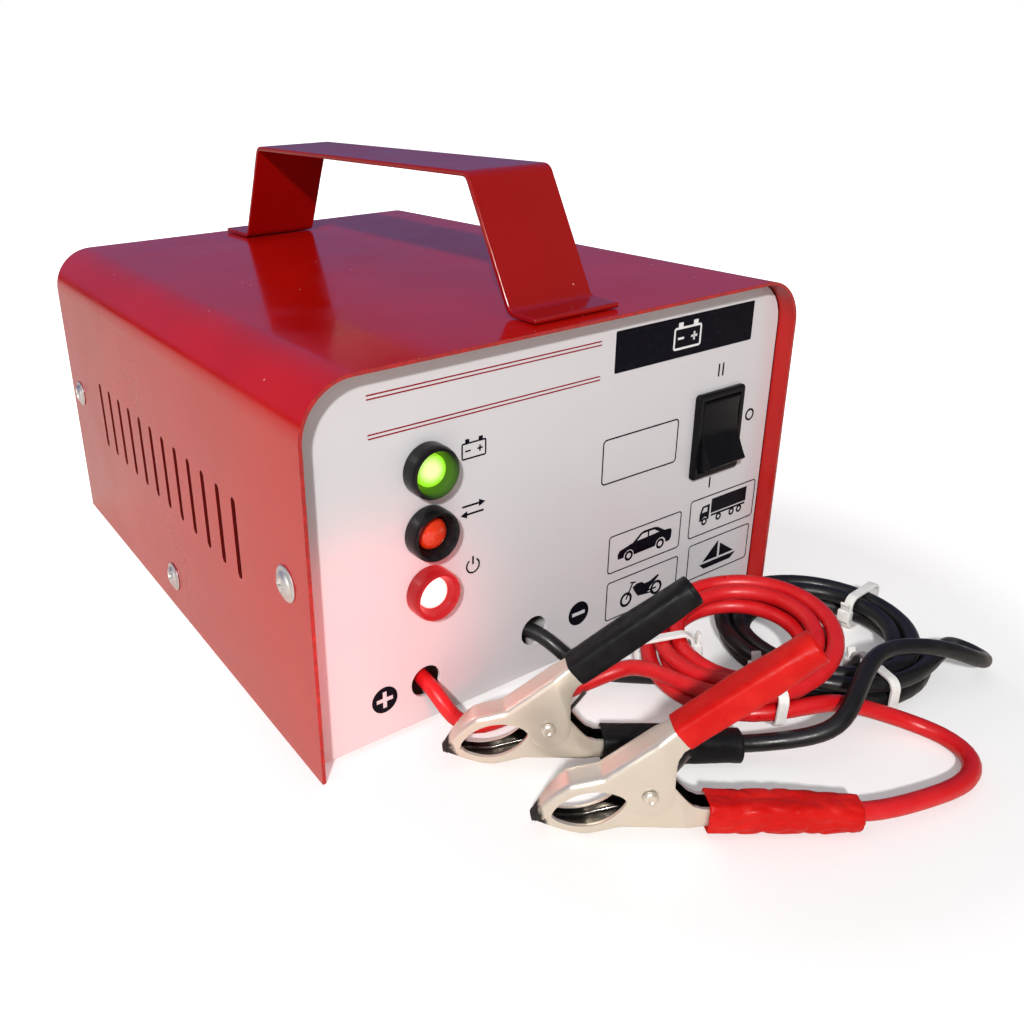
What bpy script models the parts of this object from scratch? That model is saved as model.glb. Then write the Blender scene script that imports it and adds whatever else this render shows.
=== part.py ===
"""Battery charger: a bent steel chassis under a red lacquered cover, with two output leads and clips.

Metres, +Z up. X runs to the right and +Y to the back as someone faces the front panel.
The origin is on the floor, under the middle of the case.
"""
from math import atan2, cos, pi, radians, sin, sqrt, tan

import bmesh
import bpy
import numpy as np
from mathutils import Matrix, Vector

# ---------------------------------------------------------------- driving dimensions
GAP = 0.0003  # left between pieces that touch
BIG = 0.4  # longer than the case: cutters that go right through

CASE_WIDTH = 0.168
CASE_DEPTH = 0.202
CASE_HEIGHT = 0.105
CASE_CORNER = 0.0145  # outer radius of the cover's two long bends
SHEET = 0.001
RECESS = 0.0055  # how far the panels stand inside the cover's edges
BEND = 0.0015  # inner radius of the chassis bends

VENT_COUNT = 12
VENT_PITCH = 0.0108
VENT_WIDTH = 0.0027
VENT_LOW = 0.0395
VENT_HIGH = 0.0635

SCREW_HEAD = 0.0095
SCREW_HEAD_HEIGHT = 0.0022
SCREW_SHANK = 0.0038
SCREW_LENGTH = 0.008
SCREW_SLOT = 0.0011
END_SCREW_INSET = 0.012  # from the cover's front and back edges
END_SCREW_HEIGHT = 0.052
MIDDLE_SCREW_HEIGHT = 0.0125
TAB_SIZE = 0.015

HANDLE_WIDTH = 0.0286
HANDLE_SHEET = 0.0015
HANDLE_HEIGHT = 0.0353  # top of the strap over the cover
HANDLE_BEND = 0.004
HANDLE_FRONT_FOOT = 0.005  # places along the case, from its front edge
HANDLE_FRONT_CREASE = 0.0155
HANDLE_FRONT_TOP = 0.034
HANDLE_BACK_TOP = 0.162
HANDLE_BACK_CREASE = 0.178
HANDLE_BACK_FOOT = 0.198

LAMP_X = -0.0475
LAMP_TOP = 0.075
LAMP_PITCH = 0.017
LAMP_RIM = 0.014
LAMP_RISE = 0.005
LAMP_BARREL = 0.0112
LAMP_DEPTH = 0.008
LENS = 0.0086
LENS_FLANGE = 0.0098

SWITCH_INSET = 0.0255  # from the right side of the case
SWITCH_Z = 0.060
SWITCH_WIDTH = 0.0205
SWITCH_HEIGHT = 0.0272
SWITCH_RIM_RISE = 0.002
SWITCH_LIP = 0.001  # how far the rim stands out round the body
SWITCH_BODY_DEPTH = 0.020
SWITCH_BLADE = (0.0062, 0.0008, 0.0080)
SWITCH_BLADE_PITCH = 0.0075
ROCKER_WIDTH = 0.0159
ROCKER_RADIUS = 0.0113
ROCKER_PIVOT_DEPTH = 0.003  # behind the face of the rim
ROCKER_REACH = radians(28.7)  # where the ends of the face stand, seen from the pivot
ROCKER_BACK = radians(20)  # how far behind the pivot its ends reach round
ROCKER_TILT = radians(12)  # to each side of the middle
TRUNNION = 0.003
TRUNNION_LENGTH = 0.0007

HOLE_RED_X = -0.0488
HOLE_RED_Z = 0.0133
HOLE_BLACK_X = -0.0114
HOLE_BLACK_Z = 0.015
LEAD_HOLE = 0.0093

CORE_HEIGHT = 0.070
CORE_STACK = 0.038
CORE_LIMBS = 6  # the laminations are six limbs wide, and the case takes two such widths
WINDING_BULGE = 0.013  # how far the winding stands out of the core on each side
WINDING_CORNER = 0.004
CORE_Y = 0.022
STRAP_SHEET = 0.0012
STRAP_FOOT = 0.010
STRAP_CLEARANCE = 0.0025  # from the end of a strap's foot to the cover

BOARD_SHARE = 0.274  # of the case's width
BOARD_DEPTH = 0.100
BOARD_SHEET = 0.0016
BOARD_HEIGHT = 0.010
BOARD_CLEARANCE = 0.008  # from its edge to the cover, which leaves room for a screw's end
BOARD_Y = -0.012
TERMINAL_PITCH = 0.012
TERMINAL_BLOCK = (0.026, 0.010, 0.012)
TERMINAL_INSET = 0.004  # from the board's front edge to the block's face
SPACER = 0.006
SPACER_INSET = 0.005

CAPACITOR = 0.015
CAPACITOR_HEIGHT = 0.025
SINK_WIDTH = 0.032
SINK_DEPTH = 0.016
SINK_HEIGHT = 0.028
SINK_BASE = 0.003
SINK_SHIFT = 0.004  # from the board's middle
SINK_BACK = 0.022
FIN = 0.002
FIN_COUNT = 7
THYRISTOR = (0.010, 0.0044, 0.009)

GROMMET_INSET = 0.032  # from the right side of the case
GROMMET_Z = 0.022
GROMMET = 0.015
GROMMET_RIM = 0.019
GROMMET_RISE = 0.003
GROMMET_DEPTH = 0.009
CORD_BORE = 0.0075
FUSE_Z = 0.058
FUSE_BODY = 0.0125
FUSE_RIM = 0.017
FUSE_CAP = 0.0125
FUSE_CAP_RISE = 0.005
FUSE_PLUG = 0.005
FUSE_SLOT = 0.0013
FUSE_WELL = 0.0101
FUSE_DEPTH = 0.030
FUSE_LINK = 0.0052
FUSE_LINK_LENGTH = 0.020
SELECTOR_INSET = 0.054  # from the left side of the case
SELECTOR_Z = 0.058
SELECTOR_WIDTH = 0.024
SELECTOR_HEIGHT = 0.013
SELECTOR_LIP = 0.0011
SELECTOR_DEPTH = 0.009
SELECTOR_TRAVEL = 0.004
SLIDER_WIDTH = 0.0075
SLIDER_HEIGHT = 0.0055

CABLE = 0.0044
LOOP_PITCH = 0.0049
LOOP_POINTS = 24
COIL_TURNS = 4 + 70 / 360
RED_COIL_CENTRE = (0.033, -0.131)
RED_COIL_RADIUS = 0.0263
RED_COIL_START = radians(180)
RED_COIL_SLOPE = 0.178  # it lies on the black coil, so it rises to the right
RED_COIL_LOW = 0.0038  # height of its underside at the middle of the case
BLACK_COIL_CENTRE = (0.065, -0.1345)
BLACK_COIL_RADIUS = 0.0298
BLACK_COIL_START = radians(215)
TIE_SHEET = 0.0008
TIE_WIDTH = 0.0026
TIE_TAIL = 0.006
TIE_CORNER = 0.0016

CLIP_AXIS = radians(-34.0)  # both clips lie along this direction
CLIP_LEAN = radians(18.7)  # from the floor to the clip's own axis
CLIP_PIVOT_HEIGHT = 0.01345
RED_CLIP_PIVOT = (-0.0298, -0.1562)
BLACK_CLIP_PIVOT = (-0.0330, -0.1257)
CLIP_SHEET = 0.0009
CLIP_WIDTH = 0.0072
CLIP_TIP = -0.0272  # places along the clip, from its rivet
CLIP_EYE_FRONT = -0.0228
CLIP_BULGE = -0.0158
CLIP_STRAIGHT = -0.0086  # where the straight back of an arm starts
CLIP_EYE_BACK = -0.0050
CLIP_CHEEK = 0.0056
CLIP_CROTCH = 0.0092
HANDLE_END = 0.0370
CLIP_TIP_HEIGHT = 0.0013  # heights off the clip's middle line
CLIP_EYE_DEPTH = 0.0047
CLIP_BELLY = 0.0076
CLIP_BACK = 0.0080
CLIP_TEETH = 5
CLIP_SPREAD = radians(20.5)  # from the clip's axis to each handle
CHANNEL_HEIGHT = 0.0066
SLEEVE_SHEET = 0.0008
SLEEVE_CORNER = 0.0022
SLEEVE_FLARE = 0.0005
SLEEVE_START = 0.0098
SLEEVE_LENGTH = 0.0345
CORD_REACH = 0.0400  # from the start of a handle's straight back to the cable's end
PIN = 0.0024
PIN_HEAD = 0.0037
WIRE = 0.0009
SPRING_RADIUS = 0.0042
SPRING_TURNS = 2
SPRING_POINTS = 10
SPRING_PITCH = 0.00135
SPRING_LEAVE = radians(-52)  # where round the rivet its long leg starts
SPRING_LEG = 0.011

# ---------------------------------------------------------------- what follows from them
FRONT = -CASE_DEPTH / 2
BACK = CASE_DEPTH / 2
PANEL = FRONT + RECESS  # outer face of the front panel
REAR_PANEL = BACK - RECESS
CHASSIS_WIDTH = CASE_WIDTH - 2 * (SHEET + GAP)
CHASSIS_TOP = CASE_HEIGHT - SHEET - GAP
SWITCH_X = CASE_WIDTH / 2 - SWITCH_INSET
GROMMET_X = CASE_WIDTH / 2 - GROMMET_INSET
FUSE_X = GROMMET_X
SELECTOR_X = SELECTOR_INSET - CASE_WIDTH / 2
CORE_LIMB = CASE_WIDTH / 2 / CORE_LIMBS
CORE_WIDTH = CORE_LIMBS * CORE_LIMB
STRAP_REACH = CORE_WIDTH / 2 + GAP + STRAP_SHEET + STRAP_FOOT
CORE_X = CASE_WIDTH / 2 - SHEET - STRAP_CLEARANCE - STRAP_REACH
BOARD_WIDTH = BOARD_SHARE * CASE_WIDTH
BOARD_X = BOARD_WIDTH / 2 + BOARD_CLEARANCE + SHEET - CASE_WIDTH / 2
CLIP_TURN = Matrix.Rotation(CLIP_AXIS, 4, "Z") @ Matrix.Rotation(-CLIP_LEAN, 4, "Y")
CLIP_STAGGER = (CLIP_SHEET + GAP) / 2  # each arm sits this far to its own side
TERMINAL_FACE = BOARD_Y - BOARD_DEPTH / 2 + TERMINAL_INSET
TERMINAL_SEAT = BOARD_HEIGHT + BOARD_SHEET + GAP
TERMINAL_Z = TERMINAL_SEAT + TERMINAL_BLOCK[2] / 3
TERMINAL_RED_X = BOARD_X - TERMINAL_PITCH / 2
TERMINAL_BLACK_X = BOARD_X + TERMINAL_PITCH / 2


# ---------------------------------------------------------------- the leads' routes, by hand
# From the terminals through the front panel to the coils, and from the coils to the clips.
RED_LEAD = (
    (-0.0540, -0.0720, 0.0150),
    (HOLE_RED_X, -0.0860, HOLE_RED_Z),
    (HOLE_RED_X, -0.0960, HOLE_RED_Z),
    (-0.0483, -0.1005, 0.0112),
    (-0.0460, -0.1048, 0.0052),
    (-0.0410, -0.1075, 0.0024),
    (-0.0310, -0.1085, 0.0023),
    (-0.0190, -0.1090, 0.0024),
    (-0.0060, -0.1125, 0.0052),
    (0.0030, -0.1170, 0.0090),
)
BLACK_LEAD = (
    (-0.0380, -0.0735, 0.0152),
    (-0.0200, -0.0840, 0.0152),
    (HOLE_BLACK_X, -0.0955, HOLE_BLACK_Z),
    (-0.0096, -0.1010, 0.0132),
    (-0.0060, -0.1060, 0.0085),
    (0.0000, -0.1095, 0.0042),
    (0.0080, -0.1135, 0.0023),
    (0.0180, -0.1220, 0.0023),
    (0.0270, -0.1320, 0.0023),
    (0.0335, -0.1400, 0.0027),
)
RED_TAIL = (
    (0.0380, -0.1610, 0.0092),
    (0.0460, -0.1650, 0.0058),
    (0.0525, -0.1705, 0.0030),
    (0.0555, -0.1785, 0.0023),
    (0.0530, -0.1865, 0.0024),
    (0.0440, -0.1905, 0.0028),
    (0.0310, -0.1895, 0.0038),
)
BLACK_TAIL = (
    (0.0860, -0.1602, 0.0078),
    (0.0930, -0.1590, 0.0052),
    (0.0968, -0.1625, 0.0034),
    (0.0935, -0.1685, 0.0046),
    (0.0850, -0.1695, 0.0090),
    (0.0750, -0.1660, 0.0142),
    (0.0650, -0.1615, 0.0166),
    (0.0560, -0.1590, 0.0172),
    (0.0470, -0.1605, 0.0168),
    (0.0360, -0.1645, 0.0148),
    (0.0250, -0.1660, 0.0098),
)
RED_TIES = (240, 150)  # degrees round each coil
BLACK_TIES = (5, 250)


# ---------------------------------------------------------------- tools
def clear_scene():
    for obj in list(bpy.data.objects):
        bpy.data.objects.remove(obj)


def material(name, colour, roughness, metallic=0.0):
    look = bpy.data.materials.new(name)
    look.use_nodes = True
    shader = look.node_tree.nodes["Principled BSDF"]
    shader.inputs["Base Color"].default_value = (*colour, 1)
    shader.inputs["Roughness"].default_value = roughness
    shader.inputs["Metallic"].default_value = metallic
    return look


def link(name, data, look=None, place=None):
    obj = bpy.data.objects.new(name, data)
    bpy.context.scene.collection.objects.link(obj)
    if look and not data.materials:
        data.materials.append(look)
    if place is not None:
        obj.matrix_world = place
    return obj


def solid(name, shape, look, place=None, smooth=None):
    """A named object from a bmesh. smooth is the angle under which its edges are shaded round."""
    bmesh.ops.recalc_face_normals(shape, faces=shape.faces)
    mesh = bpy.data.meshes.new(name)
    shape.to_mesh(mesh)
    shape.free()
    if smooth:
        mesh.shade_smooth()
        mesh.set_sharp_from_angle(angle=radians(smooth))
    return link(name, mesh, look, place)


def helper(name, shapes, place=None):
    """A hidden object, which cuts another or is joined to it."""
    whole = bmesh.new()
    for shape in shapes:
        bmesh.ops.recalc_face_normals(shape, faces=shape.faces)
        mesh = bpy.data.meshes.new(name)
        shape.to_mesh(mesh)
        shape.free()
        whole.from_mesh(mesh)
        bpy.data.meshes.remove(mesh)
    mesh = bpy.data.meshes.new(name)
    whole.to_mesh(mesh)
    whole.free()
    obj = link(name, mesh, place=place)
    obj.hide_render = True
    obj.display_type = "WIRE"
    return obj


def combine(obj, operation, shapes, place=None):
    """Cuts, joins or crosses the object with these shapes by one Boolean."""
    count = len(obj.modifiers)
    tool = helper(f"{obj.name}_{operation.lower()}_{count}", shapes, place)
    change = obj.modifiers.new(operation.title(), "BOOLEAN")
    change.operation = operation
    change.solver = "EXACT"
    change.object = tool
    return obj


def settled_mesh(obj):
    """The object's mesh with its modifiers in it, for copies to share."""
    graph = bpy.context.evaluated_depsgraph_get()
    mesh = bpy.data.meshes.new_from_object(obj.evaluated_get(graph))
    for change in obj.modifiers:
        bpy.data.objects.remove(change.object)
    bpy.data.objects.remove(obj)
    return mesh


def prism(outline, axis, low, high):
    """A closed outline drawn across one axis and pulled out along it."""
    order = {"x": (2, 0, 1), "y": (0, 2, 1), "z": (0, 1, 2)}[axis]
    shape = bmesh.new()
    rings = []
    for level in (low, high):
        ring = []
        for first, second in outline:
            point = (first, second, level)
            ring.append(shape.verts.new([point[place] for place in order]))
        rings.append(ring)
        shape.faces.new(ring)
    count = len(outline)
    for step in range(count):
        after = (step + 1) % count
        shape.faces.new((rings[0][step], rings[0][after], rings[1][after], rings[1][step]))
    return shape


def box(centre, size):
    (x, y, z), (width, depth, height) = centre, size
    outline = rectangle(x, y, width, depth)
    return prism(outline, "z", z - height / 2, z + height / 2)


def rectangle(x, y, width, height, corner=0.0, steps=3):
    """Corner points of a rectangle, with its corners turned into arcs where corner is given."""
    points = []
    inset_x, inset_y = width / 2 - corner, height / 2 - corner
    for quarter, (side, end) in enumerate(((1, 1), (-1, 1), (-1, -1), (1, -1))):
        for step in range(steps + 1 if corner else 1):
            angle = (quarter + step / steps) * pi / 2
            points.append(
                (
                    x + side * inset_x + corner * cos(angle),
                    y + end * inset_y + corner * sin(angle),
                )
            )
    return points


def circle(x, y, diameter, sides=20):
    return [
        (x + diameter / 2 * cos(2 * pi * step / sides), y + diameter / 2 * sin(2 * pi * step / sides))
        for step in range(sides)
    ]


def rounded_path(points, radius, steps):
    """The path with each inner corner turned into an arc of this radius."""
    path = [Vector(points[0])]
    for before, corner, after in zip(points, points[1:], points[2:]):
        into = (Vector(corner) - Vector(before)).normalized()
        out = (Vector(after) - Vector(corner)).normalized()
        turn = atan2(into.cross(out), into.dot(out))
        reach = radius * tan(abs(turn) / 2)
        start = Vector(corner) - into * reach
        side = Vector((-into.y, into.x)) * (1 if turn > 0 else -1)
        centre = start + side * radius
        for step in range(steps + 1):
            spoke = start - centre
            spoke.rotate(Matrix.Rotation(turn * step / steps, 2))
            path.append(centre + spoke)
    path.append(Vector(points[-1]))
    return path


def ribbon(path, thickness):
    """The outline of a sheet of this thickness along its middle line."""
    left, right = [], []
    for place, point in enumerate(path):
        into = (point - path[place - 1]).normalized() if place else None
        out = (path[place + 1] - point).normalized() if place + 1 < len(path) else None
        into, out = into or out, out or into
        along = (into + out).normalized()
        reach = thickness / 2 / max(along.dot(into), 0.5)
        side = Vector((-along.y, along.x)) * reach
        left.append(tuple(point + side))
        right.append(tuple(point - side))
    return left + right[::-1]


def turned(profile, sides, hollow=False):
    """A profile of (radius, height) points turned round Z. A hollow one is a closed loop."""
    shape = bmesh.new()
    rings = []
    for radius, height in profile:
        if radius == 0:
            rings.append([shape.verts.new((0, 0, height))])
            continue
        ring = []
        for step in range(sides):
            angle = 2 * pi * step / sides
            ring.append(shape.verts.new((radius * cos(angle), radius * sin(angle), height)))
        rings.append(ring)
    pairs = list(zip(rings, rings[1:]))
    if hollow:
        pairs.append((rings[-1], rings[0]))
    for first, second in pairs:
        for step in range(sides):
            after = (step + 1) % sides
            corners = [first[step % len(first)], first[after % len(first)]]
            corners += [second[after % len(second)], second[step % len(second)]]
            face = list(dict.fromkeys(corners))
            shape.faces.new(face)
    return shape


def facing(point, direction):
    """Places a shape so that its Z axis leaves this point in this direction."""
    turn = Vector((0, 0, 1)).rotation_difference(Vector(direction))
    return Matrix.Translation(point) @ turn.to_matrix().to_4x4()


def loft(rings, closed=True):
    """Skins rings of points. A closed one gets a face at each end, or else its last ring meets its first."""
    shape = bmesh.new()
    made = [[shape.verts.new(point) for point in ring] for ring in rings]
    pairs = list(zip(made, made[1:]))
    if closed:
        shape.faces.new(made[0])
        shape.faces.new(made[-1])
    else:
        pairs.append((made[-1], made[0]))
    for first, second in pairs:
        for step in range(len(first)):
            after = (step + 1) % len(first)
            shape.faces.new((first[step], first[after], second[after], second[step]))
    return shape


def tube(name, points, diameter, look, resolution=2, parent=None):
    """A cord, cable or wire along these points, with closed ends."""
    curve = bpy.data.curves.new(name, "CURVE")
    curve.dimensions = "3D"
    curve.bevel_depth = diameter / 2
    curve.bevel_resolution = resolution
    curve.use_fill_caps = True
    spline = curve.splines.new("POLY")
    spline.points.add(len(points) - 1)
    for place, point in zip(spline.points, points):
        place.co = (*point, 1)
    obj = link(name, curve, look)
    obj.parent = parent
    return obj


def smooth_route(points, spacing):
    """Even points on a smooth curve through the route's own points."""
    route = np.array(points, dtype=float)
    ends = np.vstack([2 * route[0] - route[1], route, 2 * route[-1] - route[-2]])
    fine = []
    for before, start, end, after in zip(ends, ends[1:], ends[2:], ends[3:]):
        for part in np.linspace(0, 1, 12, endpoint=False):
            bend = -before + 3 * start - 3 * end + after
            sag = 2 * before - 5 * start + 4 * end - after
            fine.append(start + ((end - before) * part + sag * part**2 + bend * part**3) / 2)
    fine.append(route[-1])
    fine = np.array(fine)
    along = np.r_[0, np.cumsum(np.linalg.norm(np.diff(fine, axis=0), axis=1))]
    stops = np.linspace(0, along[-1], round(along[-1] / spacing) + 1)
    return np.stack([np.interp(stops, along, fine[:, axis]) for axis in range(3)], axis=-1)


def least_gap(points, diameter):
    """The least gap between stretches of a tube that are over four diameters apart along it."""
    points = np.array(points)
    middles = (points[1:] + points[:-1]) / 2
    dense = np.vstack([points, middles])
    steps = np.linalg.norm(np.diff(points, axis=0), axis=1)
    along = np.r_[0, np.cumsum(steps)]
    along = np.r_[along, (along[1:] + along[:-1]) / 2]
    apart = np.linalg.norm(dense[:, None] - dense[None], axis=-1)
    apart[np.abs(along[:, None] - along[None]) < 4 * diameter] = 1
    return apart.min() - diameter


# ---------------------------------------------------------------- materials
def make_materials():
    return {
        "red_paint": material("red_paint", (0.62, 0.012, 0.012), 0.22),
        "white_paint": material("white_paint", (0.80, 0.79, 0.80), 0.42),
        "zinc": material("zinc", (0.62, 0.60, 0.57), 0.32, 1.0),
        "black_plastic": material("black_plastic", (0.012, 0.012, 0.013), 0.30),
        "green_lens": material("green_lens", (0.36, 0.75, 0.04), 0.12),
        "orange_lens": material("orange_lens", (0.75, 0.10, 0.03), 0.12),
        "red_lens": material("red_lens", (1.0, 0.30, 0.25), 0.12),
        "lamination": material("lamination", (0.16, 0.15, 0.15), 0.45, 0.9),
        "winding_tape": material("winding_tape", (0.75, 0.55, 0.10), 0.40),
        "board": material("board", (0.30, 0.20, 0.07), 0.45),
        "aluminium": material("aluminium", (0.70, 0.71, 0.72), 0.35, 1.0),
        "nylon": material("nylon", (0.82, 0.81, 0.77), 0.45),
        "blue_sleeve": material("blue_sleeve", (0.03, 0.05, 0.20), 0.35),
        "glass": material("glass", (0.85, 0.88, 0.88), 0.05),
        "red_vinyl": material("red_vinyl", (0.66, 0.02, 0.02), 0.38),
        "black_vinyl": material("black_vinyl", (0.014, 0.014, 0.016), 0.38),
        "nickel": material("nickel", (0.72, 0.68, 0.62), 0.25, 1.0),
        "spring_steel": material("spring_steel", (0.30, 0.28, 0.26), 0.30, 1.0),
    }


# ---------------------------------------------------------------- case
def screw_places():
    """(name, Y, Z) of the cover's screws, the same on both sides."""
    return (
        ("front", FRONT + END_SCREW_INSET, END_SCREW_HEIGHT),
        ("middle", 0.0, MIDDLE_SCREW_HEIGHT),
        ("back", BACK - END_SCREW_INSET, END_SCREW_HEIGHT),
    )


def make_cover(looks):
    side = CASE_WIDTH / 2 - SHEET / 2
    top = CASE_HEIGHT - SHEET / 2
    path = rounded_path(
        [(-side, 0), (-side, top), (side, top), (side, 0)], CASE_CORNER - SHEET / 2, 7
    )
    cover = solid(
        "cover", prism(ribbon(path, SHEET), "y", FRONT, BACK), looks["red_paint"], smooth=35
    )
    slots = []
    for place in range(VENT_COUNT):
        along = (place - (VENT_COUNT - 1) / 2) * VENT_PITCH
        slot = rectangle(
            along,
            (VENT_LOW + VENT_HIGH) / 2,
            VENT_WIDTH,
            VENT_HIGH - VENT_LOW,
            corner=VENT_WIDTH / 2 * 0.999,
            steps=2,
        )
        slots.append(prism(slot, "x", -BIG, BIG))
    combine(cover, "DIFFERENCE", slots)
    combine(cover, "DIFFERENCE", screw_holes())
    return cover


def screw_holes():
    return [
        prism(circle(y, z, SCREW_SHANK + 2 * GAP, 12), "x", -BIG, BIG)
        for _, y, z in screw_places()
    ]


def make_chassis(looks):
    front, back = PANEL + SHEET / 2, REAR_PANEL - SHEET / 2
    low = SHEET / 2
    path = rounded_path(
        [(front, CASE_HEIGHT), (front, low), (back, low), (back, CASE_HEIGHT)],
        BEND + SHEET / 2,
        3,
    )
    half = CHASSIS_WIDTH / 2
    chassis = solid(
        "chassis", prism(ribbon(path, SHEET), "x", -half, half), looks["white_paint"], smooth=35
    )
    corner = CASE_CORNER - SHEET - GAP
    crown = rounded_path(
        [(half, -SHEET), (half, CHASSIS_TOP), (-half, CHASSIS_TOP), (-half, -SHEET)], corner, 7
    )
    combine(chassis, "INTERSECT", [prism([tuple(p) for p in crown], "y", FRONT, BACK)])
    combine(chassis, "UNION", chassis_tabs())
    combine(chassis, "DIFFERENCE", screw_holes())
    combine(chassis, "DIFFERENCE", panel_holes())
    combine(chassis, "DIFFERENCE", floor_holes())
    return chassis


def chassis_tabs():
    """Ears turned in along the cover, which take its screws."""
    tabs = []
    wall = CHASSIS_WIDTH / 2 - SHEET / 2
    for side in (-1, 1):
        for name, y, z in screw_places():
            if name == "middle":
                height = z + TAB_SIZE / 2 - SHEET / 2
                centre = (side * wall, y, SHEET / 2 + height / 2)
                tabs.append(box(centre, (SHEET, TAB_SIZE, height)))
                continue
            inner = y + TAB_SIZE / 2 if y < 0 else y - TAB_SIZE / 2
            outer = PANEL + SHEET / 2 if y < 0 else REAR_PANEL - SHEET / 2
            centre = (side * wall, (inner + outer) / 2, z)
            tabs.append(box(centre, (SHEET, abs(outer - inner), TAB_SIZE)))
    return tabs


def panel_holes():
    """Holes of the front panel, then of the back one."""
    front = [
        circle(LAMP_X, LAMP_TOP - place * LAMP_PITCH, LAMP_BARREL + 2 * GAP) for place in range(3)
    ]
    front.append(circle(HOLE_RED_X, HOLE_RED_Z, LEAD_HOLE, 24))
    front.append(circle(HOLE_BLACK_X, HOLE_BLACK_Z, LEAD_HOLE, 24))
    width, height = switch_body_size()
    front.append(rectangle(SWITCH_X, SWITCH_Z, width + 2 * GAP, height + 2 * GAP))
    back = [circle(GROMMET_X, GROMMET_Z, GROMMET + 2 * GAP)]
    back.append(circle(FUSE_X, FUSE_Z, FUSE_BODY + 2 * GAP))
    width, height = selector_body_size()
    back.append(rectangle(SELECTOR_X, SELECTOR_Z, width + 2 * GAP, height + 2 * GAP))
    cutters = [prism(hole, "y", FRONT, PANEL + 2 * SHEET) for hole in front]
    cutters += [prism(hole, "y", REAR_PANEL - 2 * SHEET, BACK) for hole in back]
    return cutters


def floor_holes():
    """Pilot holes for the screws that hold the transformer down."""
    hole = SCREW_SHANK + 2 * GAP
    return [prism(circle(x, CORE_Y, hole, 12), "z", -SHEET, 2 * SHEET) for x in strap_screw_places()]


def make_screw_mesh(name, shank):
    """A washer-headed screw with a cross recess, its head's underside at the origin."""
    rim = SCREW_HEAD / 2
    rise = SCREW_HEAD_HEIGHT
    stem = SCREW_SHANK / 2
    profile = [
        (0, rise),
        (rim * 0.42, rise * 0.94),
        (rim * 0.70, rise * 0.62),
        (rim * 0.78, rise * 0.34),
        (rim, rise * 0.26),
        (rim, 0),
        (stem, 0),
        (stem, -shank * 0.75),
        (0, -shank),
    ]
    screw = solid(name, turned(profile, 12), None, smooth=40)
    arm, half = SCREW_HEAD * 0.24, SCREW_SLOT / 2
    cross = [(arm, -half), (arm, half), (half, half), (half, arm), (-half, arm), (-half, half)]
    cross += [(-x, -y) for x, y in cross]
    combine(screw, "DIFFERENCE", [prism(cross, "z", rise * 0.3, 2 * rise)])
    return settled_mesh(screw)


def make_cover_screws(looks):
    mesh = make_screw_mesh("cover_screw", SCREW_LENGTH)
    mesh.materials.append(looks["zinc"])
    for side, word in ((-1, "left"), (1, "right")):
        for name, y, z in screw_places():
            place = facing((side * (CASE_WIDTH / 2 + GAP), y, z), (side, 0, 0))
            link(f"cover_screw_{word}_{name}", mesh, place=place)


def make_handle(looks):
    """A bent strap with both feet turned outwards, welded to the cover."""
    low = CASE_HEIGHT + GAP + HANDLE_SHEET / 2
    high = CASE_HEIGHT + HANDLE_HEIGHT - HANDLE_SHEET / 2
    path = rounded_path(
        [
            (FRONT + HANDLE_FRONT_FOOT, low),
            (FRONT + HANDLE_FRONT_CREASE, low),
            (FRONT + HANDLE_FRONT_TOP, high),
            (FRONT + HANDLE_BACK_TOP, high),
            (FRONT + HANDLE_BACK_CREASE, low),
            (FRONT + HANDLE_BACK_FOOT, low),
        ],
        HANDLE_BEND,
        4,
    )
    half = HANDLE_WIDTH / 2
    strap = solid(
        "handle",
        prism(ribbon(path, HANDLE_SHEET), "x", -half, half),
        looks["red_paint"],
        smooth=35,
    )
    edge = strap.modifiers.new("Edge", "BEVEL")
    edge.width = HANDLE_SHEET * 0.2
    edge.segments = 1
    edge.limit_method = "ANGLE"
    edge.angle_limit = radians(60)
    return strap


# ---------------------------------------------------------------- lamps and switch
def make_lamps(looks):
    """Three indicator lamps in round holders, one above the other."""
    rim, bore, barrel = LAMP_RIM / 2, LENS / 2 + GAP, LAMP_BARREL / 2
    back = -LAMP_DEPTH
    holder_profile = [
        (bore, LAMP_RISE * 0.45),
        (bore * 1.10, LAMP_RISE * 0.80),
        (rim * 0.78, LAMP_RISE),
        (rim * 0.93, LAMP_RISE * 0.88),
        (rim, LAMP_RISE * 0.60),
        (rim, GAP),
        (barrel, GAP),
        (barrel, back),
        (bore, back),
    ]
    radius = LENS / 2
    dome = LAMP_RISE * 0.86
    lens_profile = [(0, dome)]
    for step in range(1, 5):
        angle = step / 4 * pi / 2
        lens_profile.append((radius * sin(angle), dome - radius * 0.55 * (1 - cos(angle))))
    flange = LENS_FLANGE / 2
    lens_profile += [
        (radius, back - GAP),
        (flange, back - GAP),
        (flange, back - GAP - SHEET),
        (0, back - GAP - SHEET),
    ]
    colours = (("green", "green_lens"), ("orange", "orange_lens"), ("red", "red_lens"))
    for place, (word, look) in enumerate(colours):
        spot = facing((LAMP_X, PANEL, LAMP_TOP - place * LAMP_PITCH), (0, -1, 0))
        holder = turned(holder_profile, 20, hollow=True)
        solid(f"lamp_holder_{word}", holder, looks["black_plastic"], spot, smooth=40)
        solid(f"lamp_{word}", turned(lens_profile, 20), looks[look], spot, smooth=40)


def switch_body_size():
    return SWITCH_WIDTH - 2 * SWITCH_LIP, SWITCH_HEIGHT - 2 * SWITCH_LIP


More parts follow.
